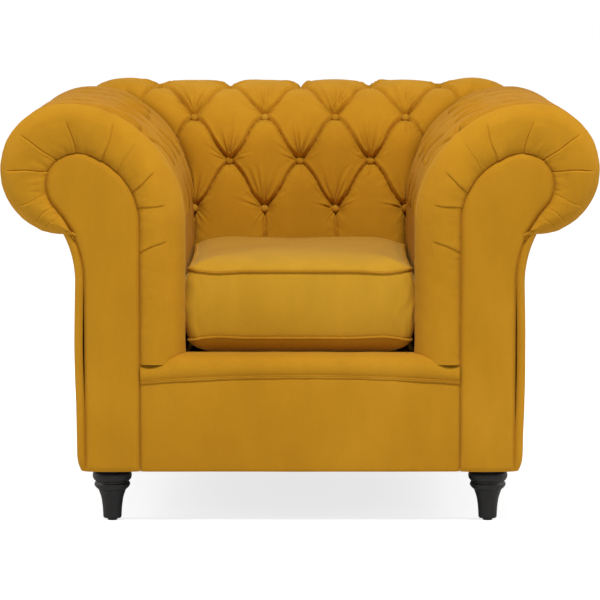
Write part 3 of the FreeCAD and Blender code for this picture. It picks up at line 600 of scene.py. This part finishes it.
def make_buttons():
    make_button_set("back_button_set", "back_buttons", back_roll, back_places,
                    lambda u, o, z: (u, o, z))
    for side in (1, -1):
        make_button_set(sided("arm_button_set", side), sided("arm_buttons", side), arm_roll,
                        arm_places, lambda u, o, z, side=side: (side * o, u, z))


# Scroll fronts

head_x = facing_inner + sweep_radius - (sweep_radius - head_radius) * math.sin(sweep_turn)
joint = (-math.sin(sweep_turn), math.cos(sweep_turn))
facing_sweep_x = head_x - (sweep_radius - head_radius) * joint[0]
facing_sweep_z = head_z - (sweep_radius - head_radius) * joint[1]
neck_x = facing_outer + neck_radius


def neck_foot(across):
    """Height where the hollow of a neck begins, by how far its centre is from the head's."""
    return head_z - math.sqrt((head_radius + neck_radius) ** 2 - across ** 2)


neck_z = neck_foot(neck_x - head_x)
neck_side = ((neck_x - head_x) / (head_radius + neck_radius),
             (neck_z - head_z) / (head_radius + neck_radius))
lean = math.radians(back_lean)
back_head_out = (back_foot + (head_z - deck_z) * math.tan(lean)
                 + (head_radius + back_padding) / math.cos(lean))
back_neck_z = neck_foot(back_outer + neck_radius - back_head_out)


def neck_at(z, outer=facing_outer, start=neck_z, offset=0.0):
    """Out at a height of a wall that is straight up to its neck and hollow above it."""
    if z <= start:
        return outer + offset
    r = neck_radius - offset
    return outer + neck_radius - math.sqrt(max(r ** 2 - (z - start) ** 2, 0))


def panel_sides(z):
    """Faces of the outside arm and of the outside back at a height."""
    return (neck_at(z, offset=panel_thickness),
            neck_at(z, back_outer, back_neck_z, panel_thickness))


outline_steps = 200


def line(start, end):
    return [tuple(a + (b - a) * k / outline_steps for a, b in zip(start, end))
            for k in range(outline_steps)]


def arc(centre, radius, first, last):
    turns = [first + (last - first) * k / outline_steps for k in range(outline_steps)]
    return [(centre[0] + radius * math.cos(a), centre[1] + radius * math.sin(a))
            for a in turns]


def arc_lengths(points):
    """Distance of each point along its line."""
    return np.concatenate([[0], np.cumsum(np.hypot(*np.diff(points, axis=0).T))])


def facing_path(samples, bottom):
    """Keyhole outline of the facing in evenly spaced points."""
    join_turn = math.atan2(joint[1], joint[0])
    end_turn = math.atan2(neck_side[1], neck_side[0])
    dense = line((facing_inner, bottom), (facing_inner, facing_sweep_z))
    dense += arc((facing_sweep_x, facing_sweep_z), sweep_radius, math.pi, join_turn)
    dense += arc((head_x, head_z), head_radius, join_turn, end_turn)
    dense += arc((neck_x, neck_z), neck_radius, (end_turn + math.pi) % (2 * math.pi), math.pi)
    dense += line((facing_outer, neck_z), (facing_outer, bottom))
    dense = np.array(dense + [(facing_outer, bottom)])
    along = arc_lengths(dense)
    t = np.linspace(0, along[-1], samples)
    return np.stack([np.interp(t, along, dense[:, n]) for n in (0, 1)], 1)


def spline(keys, samples):
    """Smooth curve through points."""
    keys = np.array(keys, float)
    gaps = arc_lengths(keys)
    gaps /= gaps[-1]
    t = np.linspace(0, 1, samples)
    slopes = np.gradient(keys, gaps, axis=0)
    index = np.clip(np.searchsorted(gaps, t) - 1, 0, len(keys) - 2)
    width = gaps[index + 1] - gaps[index]
    f = ((t - gaps[index]) / width)[:, None]
    p0, p1 = keys[index], keys[index + 1]
    m0, m1 = slopes[index] * width[:, None], slopes[index + 1] * width[:, None]
    return ((2 * f ** 3 - 3 * f ** 2 + 1) * p0 + (f ** 3 - 2 * f ** 2 + f) * m0
            + (3 * f ** 2 - 2 * f ** 3) * p1 + (f ** 3 - f ** 2) * m1)


# Pleats of a scroll front: x and z of the outer end, x and z of the inner end, strength
ring_pleats = (
    (0.542, 0.66, 0.468, 0.658, 1.0), (0.521, 0.728, 0.449, 0.679, 0.9),
    (0.43, 0.75, 0.412, 0.694, 1.0), (0.334, 0.756, 0.362, 0.682, 1.0),
    (0.293, 0.721, 0.333, 0.664, 0.45), (0.256, 0.662, 0.309, 0.62, 0.9),
    (0.235, 0.597, 0.301, 0.59, 0.8), (0.214, 0.53, 0.295, 0.509, 0.8),
    (0.527, 0.585, 0.465, 0.616, 0.5), (0.492, 0.56, 0.455, 0.594, 0.6),
    (0.47, 0.552, 0.444, 0.577, 0.5),
)

# Sections from the roll behind, round the rim, over the face to the facing's seam:
# distance in from the outline, and y
facing_seam = (0.0842, -0.4392)
round_rim = (
    (0.0075, -0.396), (0.004, -0.403), (0.0036, -0.411), (0.004, -0.417), (0.001, -0.4196),
    (-0.0026, -0.4222), (-0.003, -0.4262), (0.0004, -0.4318), (0.0056, -0.4382),
    (0.012, -0.4438), (0.02, -0.4482), (0.032, -0.4513), (0.046, -0.4526), (0.059, -0.4518),
    (0.069, -0.4498), (0.0755, -0.4474), (0.0804, -0.4442), facing_seam,
)
seat_rim = (
    (0.006, -0.385), (0.0012, -0.389), (0.0002, -0.394), (0.001, -0.4005), (0.0034, -0.408),
    (0.0075, -0.4162), (0.0128, -0.424), (0.0195, -0.4314), (0.0275, -0.4382),
    (0.037, -0.4444), (0.047, -0.4488), (0.058, -0.4512), (0.068, -0.4506),
    (0.075, -0.4482), (0.0802, -0.4446), facing_seam,
)
rim_width = 0.02
pleat_lap, pleat_slit, pleat_hollow = 0.0025, 0.0032, 0.0011


def make_border(side):
    t = np.linspace(0, border_roll.end, 900)
    ox, oz, nx, nz = border_roll.at(t)
    straight = border_roll.face_length
    inner = facing_path(2400, deck_z)
    ended = (np.arange(len(inner)) > len(inner) // 2) & (inner[:, 1] < scroll_bottom)
    inner = inner[~ended]
    gaps = arc_lengths(inner)
    # Match the outline to the facing's seam, and ease the joints of the stretches
    straight_in = facing_sweep_z - deck_z
    sweep_in = straight_in + sweep_radius * (math.pi / 2 - sweep_turn)
    mark = straight + border_roll.sweep * (math.pi / 2 - sweep_turn)
    keys_out = [0, straight, mark, mark + 0.25, border_roll.end]
    keys_in = [0, straight_in, sweep_in, sweep_in + 0.085, gaps[-1]]
    t_in = np.interp(t, keys_out, keys_in)
    kernel = np.hanning(41)
    kernel /= kernel.sum()
    padded = np.concatenate([2 * t_in[0] - t_in[20:0:-1], t_in,
                             2 * t_in[-1] - t_in[-2:-22:-1]])
    t_in = np.convolve(padded, kernel, "valid")
    ix, iz = (np.interp(t_in, gaps, inner[:, n]) for n in (0, 1))
    width = np.hypot(ix - ox, iz - oz)[:, None]
    rows = 110
    near_seat = smooth(straight + 0.31, straight + 0.06, t)[:, None]
    rim, seat = spline(round_rim, rows), spline(seat_rim, rows)
    d, Y = (rim[:, n] * (1 - near_seat) + seat[:, n] * near_seat for n in (0, 1))
    F = np.where(d < rim_width, d / np.maximum(width, 0.03),
                 (rim_width / width) + (d - rim_width) / (facing_seam[0] - rim_width)
                 * (1 - rim_width / width))
    X = ox[:, None] + (ix - ox)[:, None] * F
    Z = oz[:, None] + (iz - oz)[:, None] * F
    T = np.broadcast_to(t[:, None], X.shape)
    lift = np.zeros_like(X)
    on_face = smooth(-0.42, -0.444, Y) * smooth(1.0, 0.985, F)
    scale = np.hypot(np.gradient(X, axis=0), np.gradient(Z, axis=0))
    scale = scale / np.gradient(t)[:, None]
    for number, (x0, z0, x1, z1, power) in enumerate(ring_pleats):
        place = []
        for px, pz in ((x0, z0), (x1, z1)):
            k = np.argmin(np.hypot(X - px, Z - pz) + (Y > -0.44) * 1.0)
            place.append((T.flat[k], F.flat[k]))
        (t0, f0), (t1, f1) = place
        grow = (F - f0) / (f1 - f0)
        path = t0 + (t1 - t0) * grow + 0.0012 * np.sin(F * 9 + number * 2)
        off = (T - path) * scale
        near = smooth(-0.03, 0.16, grow)
        lap = smooth(-0.0009, 0.0009, off) * falloff(np.clip(off, 0, 1), 0.02, 1)
        lift += power * pleat_lap * near * lap
        lift -= power * pleat_slit * near * falloff(off, 0.0013)
        lift -= power * pleat_hollow * near * falloff(np.abs(off + 0.004), 0.01, 1)
    # Small gathers at the facing's seam, most on the tight turn of the head
    tight = np.interp(t_in, [0, straight_in, sweep_in, sweep_in + 0.05, gaps[-1]],
                      [0.25, 0.35, 0.8, 1.0, 0.9])[:, None]
    gather = fractal(t_in[:, None] * 90, F * 2.0, 60 if side > 0 else 64, 3)
    lift += 0.0019 * tight * gather * smooth(0.4, 1.0, F)
    lift += 0.0009 * fractal(T * 26, F * 2.2, 66 if side > 0 else 68, 2)
    Y = Y - lift * on_face
    # The rim is a little uneven
    out_shift = 0.0006 * fractal(T * 60, Y * 30, 71, 2) * (1 - smooth(-0.43, -0.446, Y))
    X = X + nx[:, None] * out_shift
    Z += nz[:, None] * out_shift
    grid_piece("scroll_front", X, Y, Z, cloth, "arm_front_border", 1, 0.9, side)


def closest(points, outline):
    """Distance of each grid point from a dense outline."""
    flat = points.reshape(-1, 2)
    best = np.full(len(flat), 1e9)
    for part in np.array_split(outline, 9):
        gap = np.hypot(*(flat[:, None, n] - part[None, :, n] for n in (0, 1)))
        best = np.minimum(best, gap.min(axis=1))
    return best.reshape(points.shape[:2])


def facing_sides(z):
    """Inner and outer x of the facing at a height."""
    half_head = math.sqrt(max(head_radius ** 2 - (z - head_z) ** 2, 0))
    if z <= facing_sweep_z:
        low = facing_inner
    elif z <= facing_sweep_z + sweep_radius * joint[1]:
        low = facing_sweep_x - math.sqrt(max(sweep_radius ** 2 - (z - facing_sweep_z) ** 2, 0))
    else:
        low = head_x - half_head
    in_head = z >= head_z + head_radius * neck_side[1]
    return low, head_x + half_head if in_head else neck_at(z)


def make_facing(side):
    seam_y, edge_rise, edge_width = -0.4396, 0.0086, 0.0042
    rows = 260
    columns = 80
    top = head_z + head_radius - 0.0002
    heights = hem_z + (top - hem_z) * np.sin(np.linspace(0, math.pi / 2, rows)) ** 0.9
    spread = 0.5 - 0.5 * np.cos(np.linspace(0, math.pi, columns))
    grid = np.zeros((rows, columns, 2))
    for r, z in enumerate(heights):
        low, high = facing_sides(z)
        grid[r, :, 0] = low + (high - low) * spread
        grid[r, :, 1] = z
    X, Z = grid[..., 0], grid[..., 1]
    d = closest(grid, facing_path(900, hem_z - 0.02))
    rise = 1 - falloff(d, edge_width, 1.15)
    Y = seam_y - edge_rise * rise - 0.0018 * smooth(0.0, 0.045, d)
    Y = np.minimum(Y, -0.4452) + 0.004 * falloff(Z - hem_z, 0.0016, 1)
    Y = np.where(d < 0.004, np.maximum(Y, seam_y - edge_rise * rise), Y)
    Y -= 0.0007 * fractal(X * 16, Z * 9, 81 if side > 0 else 85, 2) * rise
    grid_piece("facing_cover", X, Y, Z, cloth, "facing_panel", -1, side=side)


panel_puff = 0.0045


def outside_panel(columns, shape):
    """Grid whose rows are curves that a function gives for a height, tuck and fullness."""
    rows = 150
    z = hem_z + (scroll_bottom + 0.004 - hem_z) * np.linspace(0, 1, rows) ** 1.15
    tuck = 0.0075 * falloff(z - hem_z, 0.012, 1.2)
    belly = falloff(z - 0.33, 0.16)
    grid = [(*shape(*row), np.full(columns, row[0])) for row in zip(z, tuck, belly)]
    return np.array(grid).transpose(1, 0, 2)


def make_outside_arm(side):
    columns = 380

    def shape(z, tuck, belly):
        base = neck_at(z)
        full, corner = panel_sides(z)
        keys = [(base - 0.002, -0.439), (base + 0.001, -0.4432), (base + 0.0045, -0.4462),
                (base + 0.0085, -0.4455), (base + 0.0122, -0.442), (full, -0.4355)]
        keys += [(full, y) for y in np.linspace(-0.42, corner - 0.016, 26)]
        keys += [(full - 0.0006, corner - 0.009), (full - 0.0032, corner - 0.0042),
                 (full - 0.0075, corner - 0.0028)]
        x, y = spline(keys, columns).T
        fullness = np.clip((corner + 0.004 - y) / 0.25, 0, 1) ** 0.5
        x = x + panel_puff * fullness * belly - tuck
        y = y + tuck * (y < -0.43)
        seed = 91 if side > 0 else 95
        return x + 0.0007 * fractal(y * 7, np.full(columns, z) * 9, seed, 2), y

    grid_piece("outside_arm_cover", *outside_panel(columns, shape), cloth,
               "outside_arm_panel", -1, side=side)


def make_outside_back():
    columns = 420
    edge = [(0.0028, 0.0075), (0.0042, 0.0032), (0.009, 0.0006)]

    def shape(z, tuck, belly):
        half, full = panel_sides(z)
        keys = [(-half + x, full - y) for x, y in edge]
        keys += [(x, full) for x in np.linspace(-half + 0.016, half - 0.016, 25)]
        keys += [(half - x, full - y) for x, y in edge[::-1]]
        x, y = spline(keys, columns).T
        fullness = np.cos(np.pi / 2 * np.clip(x / half, -1, 1)) ** 0.5
        y = y + panel_puff * fullness * belly - tuck
        return x, y + 0.0008 * fractal(x * 7, np.full(columns, z) * 9, 101, 2)

    grid_piece("outside_back_cover", *outside_panel(columns, shape), cloth,
               "outside_back_panel", flip=True)


# Front of the seat

def seam_z(x):
    """Height of the arched seam under the deck's front edge."""
    return 0.267 + 0.011 * (1 - (x / facing_inner) ** 2)


# Section of the flat folded strip, with a stitch line along its middle: height and y
strip_section = (
    (-0.0034, -0.444), (-0.0033, -0.4468), (-0.0024, -0.4481), (-0.0008, -0.4482),
    (0.0, -0.4476), (0.0008, -0.4482), (0.0024, -0.4481), (0.0033, -0.4468),
    (0.0034, -0.444),
)
# Section of the deck's edge, up from the seam, over and back: y and share of its height
lip_section = (
    (-0.4452, 0.03), (-0.449, 0.18), (-0.4506, 0.36), (-0.4492, 0.56), (-0.444, 0.76),
    (-0.436, 0.9), (-0.425, 0.97), (-0.411, 1.0), (-0.396, 1.0), (-0.382, 0.95),
    (-0.366, 0.84), (-0.348, 0.7), (-0.328, 0.58),
)
panel_y = -0.4462


def make_front():
    x = np.linspace(-facing_inner + 0.0004, facing_inner - 0.0004, 420)
    side_tuck = 0.006 * falloff(facing_inner - np.abs(x), 0.0035, 1)
    share = np.linspace(0, 1, 140)
    S, X = np.meshgrid(share, x, indexing="ij")
    top = seam_z(X) - 0.0005
    Z = hem_z + (top - hem_z) * S ** 1.1
    low = 0.0032 * falloff(Z - hem_z, 0.002, 1)
    high = 0.003 * falloff(top - Z, 0.003, 1)
    puff = 0.0022 * np.sin(np.pi * S) ** 0.6 * np.cos(np.pi / 2 * X / facing_inner) ** 0.3
    Y = panel_y - puff + low + high + side_tuck
    Y += 0.0009 * fractal(X * 7, Z * 10, 111, 3)
    grid_piece("front_cover", X, Y, Z, cloth, "front_panel")

    section = spline(strip_section, 26)
    P, X = np.meshgrid(np.arange(len(section)), x, indexing="ij")
    wave = 0.0003 * fractal(X * 40, X * 0, 121, 2)
    Z = seam_z(X) + section[P, 0] + wave
    Y = section[P, 1] + side_tuck[None, :] * 0.8 + wave
    grid_piece("front_seam_strip", X, Y, Z, crease_cloth, "front_welt")

    # Padded front edge of the deck, which fills the gap under the cushion
    profile = spline(lip_section, 72)
    P, X = np.meshgrid(np.arange(len(profile)), x, indexing="ij")
    base = seam_z(X)
    crest = 0.3055 + 0.012 * smooth(0.286, 0.222, np.abs(X))
    Z = base + profile[P, 1] * (crest - base)
    back_part = profile[P, 0] > -0.39
    Z = np.where(back_part, np.maximum(0.299, crest - (1 - profile[P, 1]) * 0.045), Z)
    Y = profile[P, 0] + side_tuck[None, :] * (Z < 0.298)
    Z += 0.001 * fractal(X * 11, Y * 20, 131, 2)
    grid_piece("deck_front_cover", X, Y, Z, cloth, "deck_front_edge", fill=0.9)

    # Deck cloth behind it, sagging a little over the springs
    front, rear = -0.3925, 0.186
    X, Y = np.meshgrid(np.linspace(-facing_inner, facing_inner, 120),
                       np.linspace(front, rear, 120))
    sag = np.cos(np.pi / 2 * X / facing_inner) * np.sin(np.pi * (Y - front) / (rear - front))
    Z = deck_z - 0.0004 - 0.005 * sag + 0.0006 * fractal(X * 9, Y * 9, 141, 3)
    grid_piece("deck_cover", X, Y, Z, cloth, "seat_deck", fill=0.5)


# Loose seat cushion

cushion_half_x = 0.212
cushion_front = -0.374
cushion_rear = back_foot - 0.0035 - 0.0078
cushion_mid = (cushion_front + cushion_rear) / 2
cushion_half_y = (cushion_rear - cushion_front) / 2
cushion_bottom = 0.3025
crown = 0.0305
corner_radius = 0.019
welt_low, welt_high = 0.34, 0.466
welt_mid = (welt_high + welt_low) / 2
corner_peak, slack = 0.005, 0.0028
# Insets of the loops over the top and the bottom
crown_insets = (
    0.172, 0.15, 0.13, 0.112, 0.096, 0.082, 0.07, 0.06, 0.051, 0.043, 0.036, 0.03, 0.0245,
    0.0198, 0.0158, 0.0126, 0.01, 0.008, 0.0064, 0.0052, 0.0042,
)
centre_scales = (0.04, 0.2, 0.4, 0.6, 0.8)


def rounded_outline(inset, count):
    """Plan of the cushion with sides that draw in a little between its corners."""
    hx, hy = cushion_half_x - inset, cushion_half_y - inset
    r = max(0.002, min(corner_radius, hx * 0.9, hy * 0.9))
    side = np.linspace(-1, 1, count)[:-1]
    turn = np.linspace(0, math.pi / 2, 19)[:-1]
    points = []
    for n in range(4):
        a, b = (hx, hy) if n % 2 == 0 else (hy, hx)
        start = -(a - r) + (a - r) * (side + 1)
        drawn = 0.0035 * (1 - (start / a) ** 2)
        straight = np.stack([start, np.full_like(start, -b) + drawn], 1)
        bend = np.stack([a - r + r * np.sin(turn), -(b - r) - r * np.cos(turn)], 1)
        x, y = np.concatenate([straight, bend]).T
        c, s = round(math.cos(n * math.pi / 2)), round(math.sin(n * math.pi / 2))
        points.append(np.stack([x * c - y * s, x * s + y * c], 1))
    return np.concatenate(points)


def corners_and_slack(x, y):
    """1 at the corners, and 1 where the cover is slack beside them."""
    x, y = np.abs(x) / cushion_half_x, np.abs(y) / cushion_half_y
    return (smooth(0.7, 1.0, x) * smooth(0.72, 1.0, y),
            smooth(0.45, 0.78, x) * smooth(1.0, 0.86, x), smooth(0.8, 1.0, y))


def cushion_loops(count):
    """Plans and heights of the loops from the middle of the top round to the bottom."""
    def share(inset, soft):
        full = 1 - math.exp(-((crown_insets[0] - 0.0035) / soft) ** 0.85)
        return (1 - math.exp(-((inset - 0.0035) / soft) ** 0.85)) / full

    centre = rounded_outline(crown_insets[0], count)
    loops = [(centre * scale, welt_high + crown) for scale in centre_scales]
    loops += [(rounded_outline(inset, count), welt_high + crown * share(inset, 0.036))
              for inset in crown_insets]
    sides = 64
    for k in range(sides):
        v = k / (sides - 1)
        bulge = math.sin(math.pi * v) ** 0.75
        pinch = 0.0022 * (math.exp(-v / 0.02) + math.exp(-(1 - v) / 0.02))
        loops.append((rounded_outline(0.0036 - 0.005 * bulge + pinch, count),
                      welt_high - 0.0008 + (welt_low + 0.0008 - (welt_high - 0.0008)) * v))
    loops += [(rounded_outline(inset, count),
               welt_low - (welt_low - cushion_bottom) * min(1.0, share(inset, 0.023)))
              for inset in crown_insets[::-1]]
    loops += [(centre * scale, cushion_bottom) for scale in centre_scales[::-1]]
    plans, heights = zip(*loops)
    plan = np.stack(plans)
    return plan[..., 0], plan[..., 1], np.repeat(np.array(heights)[:, None], plan.shape[1], 1)


def make_cushion():
    count = 150
    X, Y, Z = cushion_loops(count)
    corner, beside, at_side = corners_and_slack(X, Y)
    up = np.clip((Z - welt_mid) / (welt_high - welt_mid), -1, 1)
    # Corners peak a little and the cover is slacker beside them
    Z += corner_peak * corner * up
    Z -= slack * beside * up * at_side
    on_top = smooth(0.9, 1.15, (Z - welt_mid) / (welt_high - welt_mid))
    Z += 0.0016 * fractal(X * 8, Y * 8, 151, 3) * on_top
    # Diagonal drag lines from the corners over the top
    across, along = np.abs(X) / cushion_half_x, np.abs(Y) / cushion_half_y
    diagonal = across - along
    fold = falloff(diagonal, 0.16) * smooth(0.5, 0.92, across)
    Z += 0.0016 * fold * np.sin(diagonal * 34 + X * 20) * on_top
    edge_x = np.sign(X) * smooth(0.86, 1.0, across)
    edge_y = np.sign(Y) * smooth(0.86, 1.0, along)
    # The stuffed corners press out past the fronts of the arms
    border = np.clip(1 - np.abs(Z - welt_mid) / 0.063, 0, 1) ** 0.5
    press = 0.0058 * border * smooth(-0.6, -0.98, Y / cushion_half_y)
    ripple = 0.001 * fractal(X * 9 + Y * 11, Z * 9, 161, 3) * border
    pull = 0.001 * np.sin((X + Y) * 260 + 2 * np.sin(Z * 70)) * corner * border
    X = X + edge_x * (ripple + pull + press)
    Y = Y + edge_y * (ripple + pull)
    # Recess in the rear of the border for the zip
    recess = smooth(0.0125, 0.0085, np.abs(Z - 0.403)) * smooth(0.1985, 0.1945, np.abs(X))
    Y = Y - 0.011 * recess * smooth(0.97, 0.985, Y / cushion_half_y)
    rows, columns = Z.shape
    faces = grid_faces(rows, columns, wrap=True)
    faces.append(tuple(reversed(range(columns))))
    faces.append(tuple(range((rows - 1) * columns, rows * columns)))
    points = np.stack([X, Y + cushion_mid, Z], -1).reshape(-1, 3)
    # The cushion wears the lighter copy of the velvet, which paints light on it
    piece("seat_cushion_cover", points, faces, lit_seat_cloth, "cushion_cover",
          body="seat_cushion")
    make_piping("top", welt_high, 1, count)
    make_piping("bottom", welt_low, -1, count)


def make_piping(word, level, sign, count):
    around = 12
    path = rounded_outline(0.003, count)
    corner, beside, at_side = corners_and_slack(path[:, 0], path[:, 1])
    z = level + sign * (corner_peak * corner - slack * (beside * at_side))
    along = np.roll(path, -1, 0) - np.roll(path, 1, 0)
    along /= np.linalg.norm(along, axis=1)[:, None]
    outward = np.stack([along[:, 1], -along[:, 0]], 1)
    radius = 0.0031 * (1 + 0.05 * np.sin(np.arange(len(path)) * 0.9))
    rings = np.zeros((len(path), around, 3))
    for k in range(around):
        a = 2 * math.pi * k / around
        rings[:, k, :2] = path + outward * (radius * math.cos(a))[:, None]
        rings[:, k, 2] = z + radius * math.sin(a)
    rings[:, :, 1] += cushion_mid
    total = len(path) * around
    faces = [tuple(index % total for index in face)
             for face in grid_faces(len(path) + 1, around, wrap=True)]
    piece("cushion_piping_" + word, rings.reshape(-1, 3), faces, crease_cloth,
          "cushion_welt_" + word, body="seat_cushion")


# Cloth under the frame

def make_dust_cover():
    columns, rows = 60, 50
    half, front, rear = 0.4015, -0.436, 0.302
    X, Y = np.meshgrid(np.linspace(-half, half, columns), np.linspace(front, rear, rows))
    across = (front + rear) / 2
    sag = np.cos(np.pi / 2 * X / half) * np.cos(np.pi * (Y - across) / (rear - front))
    sag = np.clip(sag, 0, 1)
    ripple = 0.0004 * fractal(X * 14, Y * 14, 171, 2)
    top = np.stack([X, Y, body_floor - 0.0016 * sag], -1)
    low = np.stack([X, Y, 0.1016 - 0.0024 * sag + ripple], -1)
    vertices = np.concatenate([top.reshape(-1, 3), low.reshape(-1, 3)])
    under = rows * columns
    faces = grid_faces(rows, columns) + grid_faces(rows, columns, flip=True, offset=under)
    index = np.arange(under).reshape(rows, columns)
    edge = [*index[0], *index[1:, -1], *index[-1, -2::-1], *index[-2:0:-1, 0]]
    for a, b in zip(edge, edge[1:] + edge[:1]):
        faces.append(tuple(int(n) for n in (a, a + under, b + under, b)))
    piece("dust_sheet", vertices, faces, dust_cloth, "dust_cover")


# Turned legs: radius and height up the profile

leg_profile = (
    (0.0, 0.0036), (0.014, 0.0036), (0.0163, 0.0044), (0.0172, 0.0064), (0.0174, 0.011),
    (0.0178, 0.02), (0.0192, 0.034), (0.0212, 0.045), (0.0244, 0.054), (0.0252, 0.0556),
    (0.0246, 0.0568), (0.0272, 0.059), (0.0312, 0.0628), (0.0331, 0.0655), (0.0338, 0.0682),
    (0.0332, 0.0706), (0.0317, 0.0724), (0.0314, 0.0742), (0.0326, 0.0756),
    (0.0352, 0.0782), (0.0366, 0.082), (0.0369, 0.086), (0.036, 0.0898), (0.0342, 0.0926),
    (0.0331, 0.0942), (0.0331, 0.1),
)


def make_legs():
    profile = []
    for (r0, z0), (r1, z1) in zip(leg_profile, leg_profile[1:]):
        profile += [(r0 + (r1 - r0) * k / 4, z0 + (z1 - z0) * k / 4) for k in range(4)]
    profile = np.array(profile + [leg_profile[-1]])
    kernel = np.array([0.25, 0.5, 0.25])
    for _ in range(2):
        inner = np.stack([np.convolve(profile[:, n], kernel, "valid") for n in (0, 1)], 1)
        profile = np.concatenate([profile[:1], inner, profile[-1:]])
    around = 64
    for word, y in (("front", front_leg_y), ("rear", rear_leg_y)):
        vertices, faces = [], []
        for x in (-leg_x, leg_x):
            base = len(vertices)
            for r, z in profile:
                for k in range(around):
                    a = 2 * math.pi * k / around
                    vertices.append((x + r * math.cos(a), y + r * math.sin(a), z))
            faces += grid_faces(len(profile), around, wrap=True, offset=base)
            top = base + (len(profile) - 1) * around
            faces.append(tuple(range(top, top + around)))
        piece(word + "_leg_pair", vertices, faces, black_wood, word + "_legs")


make_back()
for hand in (1, -1):
    make_arm(hand)
    make_border(hand)
    make_facing(hand)
    make_outside_arm(hand)
make_outside_back()
make_buttons()
make_front()
make_cushion()
make_dust_cover()
make_legs()


# Floor, light and camera

WHITE = (1, 1, 1, 1)
floor_grey = 0.84
floor_whitening = 0.76
world_light = 0.31


def make_stage():
    bpy.ops.mesh.primitive_plane_add(size=60, location=(0, 0, 0))
    floor = bpy.context.object
    floor.name = "floor"
    material, tree, shader = new_material("floor")
    tree.nodes.remove(shader)
    rays = tree.nodes.new("ShaderNodeLightPath").outputs
    seen = join(tree, "Math", rays["Is Camera Ray"], floor_whitening, operation="MULTIPLY")
    matt = add(tree, "BsdfDiffuse", Color=(*(floor_grey,) * 3, 1))
    glow = add(tree, "Emission", Color=WHITE, Strength=seen)
    feed(tree.nodes["Material Output"], {"Surface": join(tree, "AddShader", matt, glow)})
    floor.data.materials.append(material)

    # White to the camera and in reflections, a soft even light for the rest
    world = bpy.data.worlds.new("studio")
    bpy.context.scene.world = world
    world.use_nodes = True
    tree = world.node_tree
    background = tree.nodes["Background"]
    feed(background, {"Color": WHITE, "Strength": world_light})
    shown = add(tree, "Background", Color=WHITE, Strength=1.0)
    rays = tree.nodes.new("ShaderNodeLightPath").outputs
    white = rays["Is Camera Ray"]
    for kind in ("Is Glossy Ray", "Is Transmission Ray"):
        white = join(tree, "Math", white, rays[kind], operation="MAXIMUM")
    chosen = join(tree, "MixShader", white, background.outputs[0], shown)
    feed(tree.nodes["World Output"], {"Surface": chosen})


def area_light(name, place, target, size, energy):
    data = bpy.data.lights.new(name, "AREA")
    data.shape = "RECTANGLE"
    data.size, data.size_y = size
    data.energy = energy
    lamp = bpy.data.objects.new(name, data)
    bpy.context.collection.objects.link(lamp)
    lamp.location = place
    aim = Vector(target) - Vector(place)
    lamp.rotation_euler = aim.to_track_quat("-Z", "Y").to_euler()


make_stage()
area_light("top_front", (0.25, -2.1, 3.5), (0, -0.1, 0.4), (1.0, 0.7), 96)
area_light("left", (-3.4, -0.3, 1.7), (0, 0, 0.45), (1.2, 1.6), 36)
area_light("right", (3.4, -0.3, 1.7), (0, 0, 0.45), (1.2, 1.6), 32)
area_light("low_front", (0.0, -4.4, 0.8), (0, 0, 0.35), (2.0, 1.0), 5)
area_light("top_rear", (0, 2.4, 2.8), (0, 0.2, 0.5), (2.4, 1.2), 14)

camera_away = 6.45
camera_height = 1.0732
camera_tilt = 6.203
sensor_width = 36.0
focal_pixels, frame_pixels = 3271.7, 600.0

camera_data = bpy.data.cameras.new("camera")
camera = bpy.data.objects.new("camera", camera_data)
bpy.context.collection.objects.link(camera)
camera.location = (0.0, -camera_away, camera_height)
camera.rotation_euler = (math.radians(90 - camera_tilt), 0, 0)
camera_data.sensor_width = sensor_width
camera_data.lens = focal_pixels * sensor_width / frame_pixels
camera_data.clip_end = 200
bpy.context.scene.camera = camera
bpy.context.scene.view_settings.view_transform = "Standard"
